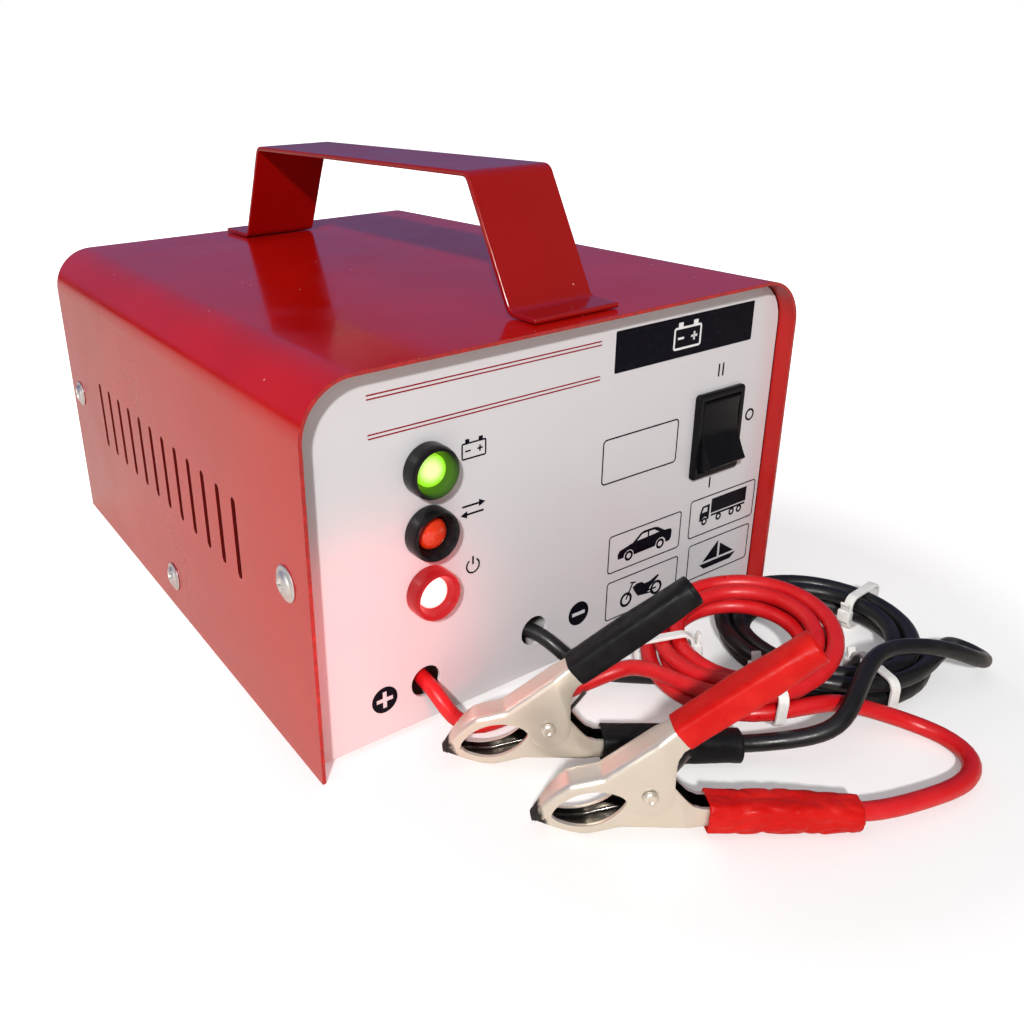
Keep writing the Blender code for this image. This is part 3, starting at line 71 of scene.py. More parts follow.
CABLE = 0.0044
LOOP_PITCH = 0.0049
LOOP_POINTS = 48
COIL_TURNS = 4 + 70 / 360
RED_COIL_CENTRE = (0.033, -0.131)
RED_COIL_RADIUS = 0.0263
RED_COIL_START = radians(180)
RED_COIL_SLOPE = 0.178  # it lies on the black coil, so it rises to the right
RED_COIL_LOW = 0.0038
BLACK_COIL_CENTRE = (0.065, -0.1345)
BLACK_COIL_RADIUS = 0.0298
BLACK_COIL_START = radians(215)
BLACK_COIL_LOW = 0.0014  # its ties lie under it
TIE_SHEET = 0.0008
TIE_WIDTH = 0.0026
TERMINAL_RED = (-0.057984, -0.0583, 0.0159)
TERMINAL_BLACK = (-0.045984, -0.0583, 0.0159)

CLIP_AXIS = radians(-34.0)
CLIP_LEAN = radians(18.7)
CLIP_PIVOT_HEIGHT = 0.01345
RED_CLIP_PIVOT = (-0.0298, -0.1562)
BLACK_CLIP_PIVOT = (-0.0330, -0.1257)
CLIP_SHEET = 0.0009
CLIP_WIDTH = 0.0072
CLIP_TIP = -0.0272  # places along the clip, from its rivet
CLIP_EYE_FRONT = -0.0228
CLIP_BULGE = -0.0158
CLIP_STRAIGHT = -0.0086
CLIP_EYE_BACK = -0.0050
CLIP_CHEEK = 0.0056
CLIP_CROTCH = 0.0092
HANDLE_END = 0.0370
CLIP_TIP_HEIGHT = 0.0013  # heights off the clip's middle line
CLIP_EYE_DEPTH = 0.0047
CLIP_BELLY = 0.0076
CLIP_BACK = 0.0080
CLIP_TEETH = 5
UPPER_EXTRA = 0.0009  # the upper jaw is a little fuller than the one it lies on
CLIP_SPREAD = radians(20.5)
CHANNEL_HEIGHT = 0.0066
HANDLE_SLIM = 0.80  # how wide the handles are beside the jaws
SLEEVE_SHEET = 0.0006
SLEEVE_START = 0.0098
SLEEVE_LENGTH = 0.0345
CORD_REACH = 0.0400
PIN_HEAD = 0.0037
WIRE = 0.0009
SPRING_RADIUS = 0.0042
SPRING_TURNS = 2
SPRING_PITCH = 0.00135
SPRING_LEAVE = radians(-52)
SPRING_LEG = 0.011
SPRING_END = 0.35  # turns at its end that move with the upper arm
SPRING_GAP = 0.10  # turns left out before them, for them to move into
CLIP_STAGGER = (CLIP_SHEET + GAP) / 2
CLIP_TURN = Matrix.Rotation(CLIP_AXIS, 4, "Z") @ Matrix.Rotation(-CLIP_LEAN, 4, "Y")

# ---------------------------------------------------------------- the photograph's view
CAMERA_PLACE = (-0.164866, -0.270935, 0.165966)
CAMERA_TURN = (radians(68.084), radians(1.706), radians(-32.597))
CAMERA_LENS = 33.13
CAMERA_SHIFT = (0.1124, -0.0650)

# ---------------------------------------------------------------- light
NEAR_LIFT = 0.20  # what the floor adds to its own white for the camera, near the charger
FAR_LIFT = 1.0  # and far off
NEAR_SPOT = (0.030, -0.110, 0)  # the middle of what throws the shadows that the photograph shows
WORLD_LIGHT = 0.27
WORLD_TINT = (0.97, 0.97, 1.0)
DUSK_BACK = (0.125, 0.125, 0.28)  # what a gloss shows of the sky behind, in front and low down
DUSK_FRONT = (0.17, 0.155, 0.145)
DUSK_LOW = (0.03, 0.025, 0.03)
KEY_POWER = 29.0
TOP_POWER = 1.6
BACK_POWER = 5.0
GLOW_POWER = 0.30

# ---------------------------------------------------------------- the leads' routes
RED_LEAD = (
    (-0.0540, -0.0720, 0.0150),
    (-0.0488, -0.0860, 0.0133),
    (-0.0488, -0.0960, 0.0133),
    (-0.0483, -0.1005, 0.0112),
    (-0.0460, -0.1048, 0.0052),
    (-0.0410, -0.1075, 0.0024),
    (-0.0310, -0.1085, 0.0023),
    (-0.0190, -0.1090, 0.0024),
    (-0.0060, -0.1125, 0.0052),
    (0.0030, -0.1170, 0.0090),
)
BLACK_LEAD = (
    (-0.0380, -0.0735, 0.0152),
    (-0.0200, -0.0840, 0.0152),
    (-0.0114, -0.0955, 0.0150),
    (-0.0096, -0.1010, 0.0132),
    (-0.0060, -0.1060, 0.0085),
    (0.0000, -0.1095, 0.0042),
    (0.0080, -0.1135, 0.0023),
    (0.0180, -0.1220, 0.0023),
    (0.0270, -0.1320, 0.0023),
    (0.0335, -0.1400, 0.0027),
)
RED_TAIL = (
    (0.0380, -0.1610, 0.0092),
    (0.0460, -0.1650, 0.0058),
    (0.0525, -0.1705, 0.0030),
    (0.0555, -0.1785, 0.0023),
    (0.0530, -0.1865, 0.0024),
    (0.0440, -0.1905, 0.0028),
    (0.0310, -0.1895, 0.0038),
)
BLACK_TAIL = (
    (0.0860, -0.1602, 0.0078),
    (0.0930, -0.1590, 0.0052),
    (0.0968, -0.1625, 0.0034),
    (0.0935, -0.1685, 0.0046),
    (0.0850, -0.1695, 0.0090),
    (0.0750, -0.1660, 0.0142),
    (0.0650, -0.1615, 0.0166),
    (0.0560, -0.1590, 0.0172),
    (0.0470, -0.1605, 0.0168),
    (0.0360, -0.1645, 0.0148),
    (0.0250, -0.1660, 0.0098),
)
RED_TIES = (240, 150)  # degrees round each coil
BLACK_TIES = (5, 250)


# ---------------------------------------------------------------- handling
def only(obj):
    """Selects this object alone and makes it active."""
    bpy.ops.object.select_all(action="DESELECT")
    obj.select_set(True)
    bpy.context.view_layer.objects.active = obj


@contextmanager
def editing(obj):
    """Edit mode on this object alone."""
    only(obj)
    bpy.ops.object.mode_set(mode="EDIT")
    yield
    bpy.ops.object.mode_set(mode="OBJECT")


def pick(obj, kind, test):
    """In edit mode, selects the VERT, EDGE or FACE elements that pass a test."""
    bpy.ops.mesh.select_mode(type=kind)
    bpy.ops.mesh.select_all(action="DESELECT")
    mesh = bmesh.from_edit_mesh(obj.data)
    for item in {"VERT": mesh.verts, "EDGE": mesh.edges, "FACE": mesh.faces}[kind]:
        if test(item):
            item.select_set(True)
    bmesh.update_edit_mesh(obj.data)


def middle_of(edge):
    return (edge.verts[0].co + edge.verts[1].co) / 2


def modify(obj, kind, **settings):
    """Adds a modifier with these settings and applies it."""
    only(obj)
    change = obj.modifiers.new(kind.title(), kind)
    for name, value in settings.items():
        setattr(change, name, value)
    bpy.ops.object.modifier_apply(modifier=change.name)


def soften(obj, width, segments=2, angle=40):
    """Rounds the sharp edges by a small bevel."""
    limit = {"limit_method": "ANGLE", "angle_limit": radians(angle)}
    modify(obj, "BEVEL", width=width, segments=segments, **limit)


def cut(obj, tool):
    """Takes one piece out of another, and removes the tool."""
    modify(obj, "BOOLEAN", operation="DIFFERENCE", solver="EXACT", object=tool)
    bpy.data.objects.remove(tool)


def unite(obj, other):
    """Makes one solid of two that overlap, and removes the second."""
    modify(obj, "BOOLEAN", operation="UNION", solver="EXACT", object=other)
    bpy.data.objects.remove(other)


def join(name, objects):
    """One piece of several, named."""
    only(objects[0])
    for obj in objects[1:]:
        obj.select_set(True)
    if len(objects) > 1:
        bpy.ops.object.join()
    whole = bpy.context.object
    whole.name = whole.data.name = name
    return whole


def merged(obj):
    """Merges doubled points and turns the faces outwards."""
    with editing(obj):
        bpy.ops.mesh.select_all(action="SELECT")
        bpy.ops.mesh.remove_doubles(threshold=1e-6)
        bpy.ops.mesh.delete_loose()
        bpy.ops.mesh.select_all(action="SELECT")
        bpy.ops.mesh.normals_make_consistent(inside=False)
    return obj


def fit(obj, finish, body="case", nodes=(), smooth=35):
    """Gives a finished piece its shading, its finish, its body and the nodes that it stands for."""
    only(obj)
    bpy.ops.object.transform_apply(location=True, rotation=True, scale=True)
    if smooth:
        bpy.ops.object.shade_smooth_by_angle(angle=radians(smooth))
    both = finish if isinstance(finish, tuple) else (finish,)
    kinds = [min(face.material_index, len(both) - 1) for face in obj.data.polygons]
    obj.data.materials.clear()
    for one in both:
        obj.data.materials.append(one)
    for face, kind in zip(obj.data.polygons, kinds):
        face.material_index = kind
    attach(obj, body)
    if nodes:
        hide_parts(*nodes)
    return obj


def two_sided(obj):
    """Makes room on a piece for a finish outside and another inside."""
    obj.data.materials.append(None)
    obj.data.materials.append(None)


def thicken(obj, sheet):
    """Gives a surface the thickness of its sheet, inwards, with the second finish inside."""
    two_sided(obj)
    modify(obj, "SOLIDIFY", thickness=sheet, offset=-1, use_even_offset=True, material_offset=1)


def copied(obj, name, place):
    """A copy with its own mesh, moved by this matrix."""
    twin = obj.copy()
    twin.data = obj.data.copy()
    twin.name = twin.data.name = name
    bpy.context.scene.collection.objects.link(twin)
    twin.data.transform(place)
    return twin


def block(name, low, high):
    """A box between two corners."""
    low, high = Vector(low), Vector(high)
    bpy.ops.mesh.primitive_cube_add(size=1, location=(low + high) / 2, scale=high - low)
    bpy.ops.object.transform_apply(location=True, rotation=True, scale=True)
    obj = bpy.context.object
    obj.name = obj.data.name = name
    return obj


def beam(name, x, z, width, height, front, back):
    """A box about the line through (X, Z), from one Y to another."""
    low = (x - width / 2, front, z - height / 2)
    return block(name, low, (x + width / 2, back, z + height / 2))


def rod(name, centre, diameter, length, axis, sides=32):
    """A cylinder about X, Y or Z."""
    turn = {"x": (0, pi / 2, 0), "y": (pi / 2, 0, 0), "z": (0, 0, 0)}[axis]
    bpy.ops.mesh.primitive_cylinder_add(
        vertices=sides, radius=diameter / 2, depth=length, location=centre, rotation=turn
    )
    bpy.ops.object.transform_apply(location=True, rotation=True, scale=True)
    obj = bpy.context.object
    obj.name = obj.data.name = name
    return obj


def outline(name, points, filled=True):
    """A circle primitive whose points are set round an outline."""
    fill = "NGON" if filled else "NOTHING"
    bpy.ops.mesh.primitive_circle_add(vertices=len(points), radius=0.01, fill_type=fill)
    obj = bpy.context.object
    obj.name = obj.data.name = name
    for vertex, point in zip(obj.data.vertices, points):
        vertex.co = point
    return obj


def drawn(name, points, way):
    """A closed outline, filled and pulled out along a way."""
    obj = outline(name, points)
    with editing(obj):
        bpy.ops.mesh.select_all(action="SELECT")
        bpy.ops.mesh.extrude_region_move(TRANSFORM_OT_translate={"value": way})
        bpy.ops.mesh.select_all(action="SELECT")
        bpy.ops.mesh.normals_make_consistent(inside=False)
    return obj


def turned(name, profile, place=None, steps=64):
    """A closed profile of (radius, height) points spun round Z, then put in its place."""
    obj = outline(name, [(radius, 0, height) for radius, height in profile], filled=False)
    with editing(obj):
        bpy.ops.mesh.select_all(action="SELECT")
        bpy.ops.mesh.spin(steps=steps, angle=2 * pi, center=(0, 0, 0), axis=(0, 0, 1))
    merged(obj)
    if place is not None:
        obj.data.transform(place)
    return obj


def facing(point, direction):
    """Puts a shape so that its Z axis leaves this point in this direction."""
    turn = Vector((0, 0, 1)).rotation_difference(Vector(direction))
    return Matrix.Translation(point) @ turn.to_matrix().to_4x4()


def rounded(width, height, corner, steps=6, x=0.0, y=0.0):
    """Points of a rectangle with round corners, counter-clockwise."""
    points = []
    for quarter, (side, end) in enumerate(((1, 1), (-1, 1), (-1, -1), (1, -1))):
        for step in range(steps + 1):
            angle = (quarter + step / steps) * pi / 2
            across = x + side * (width / 2 - corner) + corner * cos(angle)
            up = y + end * (height / 2 - corner) + corner * sin(angle)
            points.append((across, up))
    return points


def circle(x, y, diameter, steps=40, start=0.0, sweep=2 * pi):
    """Points round a circle, or along the part of it that sweep gives."""
    count = steps if sweep == 2 * pi else steps + 1
    points = []
    for step in range(count):
        angle = start + sweep * step / steps
        points.append((x + diameter / 2 * cos(angle), y + diameter / 2 * sin(angle)))
    return points


# ---------------------------------------------------------------- finishes
def add_node(tree, kind, inputs=None, **settings):
    """Adds a shader node with these settings. An input is a value or another node's socket."""
    made = tree.nodes.new(f"ShaderNode{kind}")
    for name, value in settings.items():
        setattr(made, name, value)
    for name, value in (inputs or {}).items():
        if isinstance(value, bpy.types.NodeSocket):
            tree.links.new(value, made.inputs[name])
        else:
            made.inputs[name].default_value = value
    return made


class Finish:
    """A procedural material round one Principled shader, on Object coordinates in metres."""

    def __init__(self, name, colour, roughness, metallic=0.0, **sockets):
        self.material = bpy.data.materials.new(name)
        self.material.use_nodes = True
        self.tree = self.material.node_tree
        self.shader = self.tree.nodes["Principled BSDF"]
        self.shader.inputs["Base Color"].default_value = (*colour, 1)
        self.shader.inputs["Roughness"].default_value = roughness
        self.shader.inputs["Metallic"].default_value = metallic
        for socket, value in sockets.items():
            self.shader.inputs[socket.replace("_", " ")].default_value = value
        self.object_place = self.tree.nodes.new("ShaderNodeTexCoord").outputs["Object"]

    def node(self, kind, inputs=None, **settings):
        return add_node(self.tree, kind, inputs, **settings)

    def place(self, centre=(0, 0, 0), turn=(0, 0, 0), stretch=(1, 1, 1)):
        """Coordinates from a centre, turned, with each axis drawn out."""
        scale = [1 / part for part in stretch]
        inputs = {"Vector": self.object_place, "Location": centre, "Rotation": turn}
        centred = self.node("Mapping", inputs, vector_type="TEXTURE").outputs[0]
        return self.node("Mapping", {"Vector": centred, "Scale": scale}).outputs[0]

    def noise(self, size, detail, place=None):
        """Soft mottling whose patches are about this size."""
        inputs = {"Vector": place or self.object_place, "Scale": 1 / size, "Detail": detail}
        return self.node("TexNoise", inputs).outputs["Fac"]

    def specks(self, size, share):
        """Small round specks, one to a cell of this size: 1 in a speck."""
        cell = self.node("TexVoronoi", {"Vector": self.object_place, "Scale": 1 / size})
        return self.reach(cell.outputs["Distance"], share, share * 0.5)

    def reach(self, value, low, high, out_low=0.0, out_high=1.0):
        """Maps low to out_low and high to out_high, smoothly, and holds beyond."""
        inputs = {
            "Value": value, "From Min": low, "From Max": high, "To Min": out_low, "To Max": out_high,
        }
        return self.node("MapRange", inputs, interpolation_type="SMOOTHSTEP").outputs["Result"]

    def patches(self, size, detail, start, end):
        """Soft patches about this size: 0 between them and 1 in them."""
        return self.reach(self.noise(size, detail), start, end)

    def maths(self, operation, first, second=0.0):
        return self.node("Math", {0: first, 1: second}, operation=operation).outputs[0]

    def axis(self, letter, place=None):
        """One coordinate, in metres."""
        return self.node("SeparateXYZ", {"Vector": place or self.object_place}).outputs[letter]

    def distance(self, centre):
        """How far a place is from a centre, in metres."""
        inputs = {0: self.object_place, 1: centre}
        return self.node("VectorMath", inputs, operation="DISTANCE").outputs["Value"]

    def mix(self, share, first, second):
        """A colour between two, each a colour or a socket."""
        made = self.node("Mix", {"Factor": share}, data_type="RGBA")
        for socket, value in zip((made.inputs[6], made.inputs[7]), (first, second)):
            if isinstance(value, bpy.types.NodeSocket):
                self.tree.links.new(value, socket)
            else:
                socket.default_value = (*value, 1)
        return made.outputs[2]

    def use(self, socket, value):
        self.tree.links.new(value, self.shader.inputs[socket])

    def tint(self, share, first, second):
        """Gives it a colour between two."""
        self.use("Base Color", self.mix(share, first, second))

    def sheen(self, size, detail, low, high, end=0.7):
        """Makes it duller, from low to high, in patches about this size."""
        self.use("Roughness", self.reach(self.noise(size, detail), 0.3, end, low, high))

    def light_up(self, share, first, second, strength):
        """Makes it glow in a colour between two."""
        self.use("Emission Color", self.mix(share, first, second))
        self.shader.inputs["Emission Strength"].default_value = strength

    def bump(self, *layers):
        """Raises the surface by layers of (height socket, depth in metres)."""
        normal = None
        for height, depth in layers:
            inputs = {"Height": height, "Distance": depth, "Strength": 1.0}
            if normal:
                inputs["Normal"] = normal
            normal = self.node("Bump", inputs).outputs["Normal"]
        self.use("Normal", normal)


def lacquer(name, colour, light):
    """Glossy red lacquer, stoved on steel sheet, with a faint orange peel and a little dust."""
    f = Finish(name, colour, 0.16, Coat_Weight=0.35, Coat_Roughness=0.04)
    base = f.mix(f.patches(0.05, 3, 0.35, 0.7), colour, light)
    base = f.mix(f.specks(0.0105, 0.035), base, (0.75, 0.35, 0.33))
    edge = f.maths("ADD", f.axis("Y"), f.maths("MULTIPLY", f.noise(0.0022, 3), 0.0011))
    worn = f.reach(edge, FRONT + 0.0008, FRONT + 0.0004)
    f.tint(f.maths("MULTIPLY", worn, 0.6), base, (0.20, 0.002, 0.003))
    f.sheen(0.018, 4, 0.13, 0.24, end=0.75)
    f.bump((f.noise(0.0021, 1), 0.000009))
    return f.material


def cover_inside(name):
    """The cover's inner face: bright lacquer on the lip before the panel, dark painted shade behind.
    """
    f = Finish(name, (0.10, 0.005, 0.004), 0.3)
    lip = f.reach(f.axis("Y"), PANEL, PANEL - 0.0004)
    # painted shade: behind the lip a mottled dark red stands for the shade inside the case and its
    # vents
    thin = f.mix(f.noise(0.01, 3), (0.085, 0.004, 0.003), (0.12, 0.006, 0.005))
    f.tint(lip, thin, LACQUER)
    f.bump((f.noise(0.0021, 1), 0.000009))
    return f.material


def white_paint(name):
    """Satin white paint on the chassis, greyer towards the floor."""
    f = Finish(name, (0.74, 0.73, 0.75), 0.42)
    # greyer, in patches, towards the floor
    greyer_low = f.maths("MULTIPLY", f.reach(f.axis("Z"), 0.016, 0.0), f.noise(0.006, 4))
    base = f.mix(f.noise(0.03, 3), (0.72, 0.71, 0.73), (0.77, 0.76, 0.78))
    f.tint(greyer_low, base, (0.42, 0.39, 0.37))
    f.sheen(0.008, 3, 0.36, 0.5)
    f.bump((f.noise(0.0009, 2), 0.000012))
    return f.material


def label_film(name):
    """The printed film on the panel: pale, satin, with faint unevenness where it is stuck down."""
    f = Finish(name, (0.68, 0.68, 0.70), 0.34, Coat_Weight=0.25, Coat_Roughness=0.2)
    f.tint(f.noise(0.02, 3), (0.60, 0.595, 0.62), (0.63, 0.625, 0.65))
    f.sheen(0.004, 4, 0.29, 0.40)
    f.bump((f.noise(0.012, 2), 0.00006), (f.noise(0.0005, 1), 0.000003))
    return f.material


def ink(name, colour):
    """Screen-printed ink, a little thin in places."""
    f = Finish(name, colour, 0.3, Specular_IOR_Level=0.06)
    thin = tuple(min(1.0, part + 0.004) for part in colour)
    f.tint(f.patches(0.0012, 4, 0.45, 0.75), colour, thin)
    f.sheen(0.003, 3, 0.28, 0.38)
    return f.material


def black_plastic(name, roughness):
    """Moulded black plastic with a fine grain."""
    f = Finish(name, (0.005, 0.005, 0.006), roughness, Specular_IOR_Level=0.13)
    f.tint(f.noise(0.004, 3), (0.003, 0.003, 0.004), (0.006, 0.006, 0.008))
    f.sheen(0.0016, 3, roughness - 0.04, roughness + 0.05)
    f.bump((f.noise(0.00025, 2), 0.0000018), (f.noise(0.003, 2), 0.00001))
    return f.material


# ---------------------------------------------------------------- leads
def smooth_route(points, spacing):
    """Even points on a smooth curve through the route's own points."""
    route = np.array(points, dtype=float)
    ends = np.vstack([2 * route[0] - route[1], route, 2 * route[-1] - route[-2]])
    fine = []
    for before, start, end, after in zip(ends, ends[1:], ends[2:], ends[3:]):
        for part in np.linspace(0, 1, 12, endpoint=False):
            bend = -before + 3 * start - 3 * end + after
            sag = 2 * before - 5 * start + 4 * end - after
            fine.append(start + ((end - before) * part + sag * part**2 + bend * part**3) / 2)
    fine.append(route[-1])
    fine = np.array(fine)
    along = np.r_[0, np.cumsum(np.linalg.norm(np.diff(fine, axis=0), axis=1))]
    stops = np.linspace(0, along[-1], round(along[-1] / spacing) + 1)
    return np.stack([np.interp(stops, along, fine[:, axis]) for axis in range(3)], axis=-1)


def coil_points(centre, radius, start, low, slope, falls):
    """Loops that spiral in on one layer and out on the other. A coil that falls starts on top."""
    count = round(COIL_TURNS * LOOP_POINTS)
    points = []
    for step in range(count + 1):
        turn = COIL_TURNS * step / count
        from_middle = turn - COIL_TURNS / 2
        reach = radius - LOOP_PITCH * (COIL_TURNS / 2 - abs(from_middle))
        climb = min(1.0, max(0.0, 2 * from_middle + 0.5))
        climb = climb * climb * (3 - 2 * climb)
        layer = 1 - climb if falls else climb
        x = centre[0] + reach * cos(start + 2 * pi * turn)
        y = centre[1] + reach * sin(start + 2 * pi * turn)
        points.append((x, y, low + slope * x + CABLE / 2 + LOOP_PITCH * layer))
    return points


def run_out(end, before):
    """The end of a coil, run on straight by one cable diameter, and its direction."""
    along = (Vector(end) - Vector(before)).normalized()
    return Vector(end) + along * CABLE, along


def cord_seat(pivot):
    """Where a cable ends in a clip's lower handle, and the way out of it."""
    turn = Matrix.Translation((*pivot, CLIP_PIVOT_HEIGHT)) @ CLIP_TURN
    way = Vector((cos(CLIP_SPREAD), 0, -sin(CLIP_SPREAD)))
    inward = Vector((sin(CLIP_SPREAD), 0, cos(CLIP_SPREAD)))
    depth = CLIP_SHEET + GAP + CABLE / 2
    end = Vector((CLIP_STRAIGHT, CLIP_STAGGER, -CLIP_BACK)) + way * CORD_REACH + inward * depth
    return turn @ end, (turn.to_3x3() @ way).normalized()


def whole_lead(terminal, lead, coil, tail, pivot):
    """The points of one cable, from its terminal through its coil to its clip."""
    start = Vector(terminal)
    into, into_way = run_out(coil[0], coil[1])
    out, out_way = run_out(coil[-1], coil[-2])
    seat, seat_way = cord_seat(pivot)
    near_seat = (seat + seat_way * 4 * CABLE, seat + seat_way * CABLE)
    first = [start, start + Vector((0, -CABLE, 0)), *lead, into + into_way * CABLE]
    last = [out + out_way * CABLE, *tail, *near_seat, seat]
    points = [*smooth_route(first, CABLE * 0.55), *coil, *smooth_route(last, CABLE * 0.55)]
    points = np.array([tuple(point) for point in points])
    for _ in range(4):
        points[2:-2] = (points[1:-3] + 2 * points[2:-2] + points[3:-1]) / 4
    return [Vector(point) for point in points]


def cable(name, points, finish, diameter=CABLE, roundness=6):
    """A cable as a smooth round curve with closed ends."""
    data = bpy.data.curves.new(name, "CURVE")
    data.dimensions = "3D"
    data.bevel_depth = diameter / 2
    data.bevel_resolution = roundness
    data.use_fill_caps = True
    spline = data.splines.new("POLY")
    spline.points.add(len(points) - 1)
    for place, point in zip(spline.points, points):
        place.co = (*point, 1)
    obj = bpy.data.objects.new(name, data)
    bpy.context.scene.collection.objects.link(obj)
    data.materials.append(finish)
    return obj


def cable_vinyl(name, colour, light):
    """Soft cable insulation, with slight unevenness and handling marks."""
    f = Finish(name, colour, 0.34, Specular_IOR_Level=0.4)
    f.tint(f.patches(0.012, 4, 0.35, 0.75), colour, light)
    f.sheen(0.004, 4, 0.27, 0.46)
    f.bump((f.noise(0.0025, 3), 0.00006), (f.noise(0.0004, 2), 0.000008))
    return f.material


def make_leads(looks):
    """Both leads, each one cable from its terminal through the panel and its coil to its clip."""
    red_coil = coil_points(
        RED_COIL_CENTRE, RED_COIL_RADIUS, RED_COIL_START, RED_COIL_LOW, RED_COIL_SLOPE, falls=True
    )
    black_coil = coil_points(
        BLACK_COIL_CENTRE, BLACK_COIL_RADIUS, BLACK_COIL_START, BLACK_COIL_LOW, 0.0, falls=False
    )
    leads = (
        ("red", TERMINAL_RED, RED_LEAD, red_coil, RED_TAIL, RED_CLIP_PIVOT),
        ("black", TERMINAL_BLACK, BLACK_LEAD, black_coil, BLACK_TAIL, BLACK_CLIP_PIVOT),
    )
    made = {}
    for word, terminal, lead, coil, tail, pivot in leads:
        points = whole_lead(terminal, lead, coil, tail, pivot)
        obj = cable(f"lead_{word}_cable", points, looks[f"{word}_cable"])
        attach(obj, "case")
        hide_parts(f"lead_{word}", f"coil_{word}", f"tail_{word}")
        made[word] = (obj, points)
    return made


# ---------------------------------------------------------------- case
def bent(points, radius, steps):
    """A flat path with each inner corner turned into an arc."""
    path = [Vector(points[0])]
    for before, corner, after in zip(points, points[1:], points[2:]):
        into = (Vector(corner) - Vector(before)).normalized()
        out = (Vector(after) - Vector(corner)).normalized()
        turn = atan2(into.cross(out), into.dot(out))
        start = Vector(corner) - into * radius * tan(abs(turn) / 2)
        side = Vector((-into.y, into.x)) * (1 if turn > 0 else -1)
        for step in range(steps + 1):
            spoke = -side * radius
            spoke.rotate(Matrix.Rotation(turn * step / steps, 2))
            path.append(start + side * radius + spoke)
    path.append(Vector(points[-1]))
    return path


def strip(path, thickness):
    """The outline of a sheet of this thickness along its middle line."""
    left, right = [], []
    for place, point in enumerate(path):
        into = (point - path[place - 1]).normalized() if place else None
        out = (path[place + 1] - point).normalized() if place + 1 < len(path) else None
        into, out = into or out, out or into
        along = (into + out).normalized()
        side = Vector((-along.y, along.x)) * (thickness / 2 / max(along.dot(into), 0.5))
        left.append(point + side)
        right.append(point - side)
    return left + right[::-1]


def make_cover(looks):
    """The cover: a sheet bent over the top and down both sides, with its vents and screw holes."""
    half = CASE_WIDTH / 2
    cover = block("cover_sheet", (-half, FRONT, 0), (half, -FRONT, CASE_HEIGHT))
    with editing(cover):
        pick(cover, "EDGE", lambda edge: middle_of(edge).z > CASE_HEIGHT - GAP
             and abs(middle_of(edge).x) > half - GAP)
        bpy.ops.mesh.bevel(offset=CASE_CORNER, segments=20)
        pick(cover, "FACE", lambda face: face.normal.z < -0.9 or abs(face.normal.y) > 0.9)
        bpy.ops.mesh.delete(type="FACE")
    thicken(cover, SHEET)
    tall = VENT_HIGH - VENT_LOW
    slot = rounded(VENT_WIDTH, tall, VENT_WIDTH * 0.499, 8, 0, (VENT_LOW + VENT_HIGH) / 2)
    first = -(VENT_COUNT - 1) / 2 * VENT_PITCH
    vents = drawn("vents", [(-half * 1.1, first + y, z) for y, z in slot], (half * 2.2, 0, 0))
    modify(
        vents, "ARRAY", count=VENT_COUNT, use_relative_offset=False, use_constant_offset=True,
        constant_offset_displace=(0, VENT_PITCH, 0),
    )
    # the vents' walls take the cover's inside finish, whose dark red is painted shade
    two_sided(vents)
    for face in vents.data.polygons:
        face.material_index = 1
    cut(cover, vents)
    screw_hole = 0.0044
    for _, y, z in SCREW_PLACES:
        cut(cover, rod("hole", (0, y, z), screw_hole, half * 2.2, "x"))
    soften(cover, 0.00028, 3, 50)
    both = (looks["red_lacquer"], looks["cover_inside"])
    fit(cover, both, nodes=["cover"], smooth=30)
    modify(cover, "TRIANGULATE", min_vertices=5, ngon_method="BEAUTY")
    modify(cover, "WEIGHTED_NORMAL", keep_sharp=True, weight=100)


def make_handle(looks):
    """The strap handle, bent from one strip, with its edges broken."""
    sheet, width, rise, bend = 0.0015, 0.0286, 0.0353, 0.0032
    low = CASE_HEIGHT + GAP + sheet / 2
    high = CASE_HEIGHT + rise - sheet / 2
    front_end, back_end = FRONT + 0.005, FRONT + 0.198
    corners = [
        (front_end, low), (FRONT + 0.0155, low), (FRONT + 0.034, high),
        (FRONT + 0.162, high), (FRONT + 0.178, low), (back_end, low),
    ]
    edge_line = strip(bent(corners, bend, 8), sheet)
    half = width / 2
    strap = drawn("handle_strap", [(-half, point.x, point.y) for point in edge_line], (width, 0, 0))
    with editing(strap):
        pick(strap, "EDGE", lambda edge: abs(edge.verts[0].co.x - edge.verts[1].co.x) > half
             and not front_end + GAP < edge.verts[0].co.y < back_end - GAP)
        bpy.ops.mesh.bevel(offset=0.0004, segments=2)
    soften(strap, 0.0004, 3, 50)
    # its red is a darker copy of the cover's lacquer: painted shade
    fit(strap, looks["handle_lacquer_shaded"], nodes=["handle"], smooth=30)
    modify(strap, "WEIGHTED_NORMAL", keep_sharp=True, weight=100)


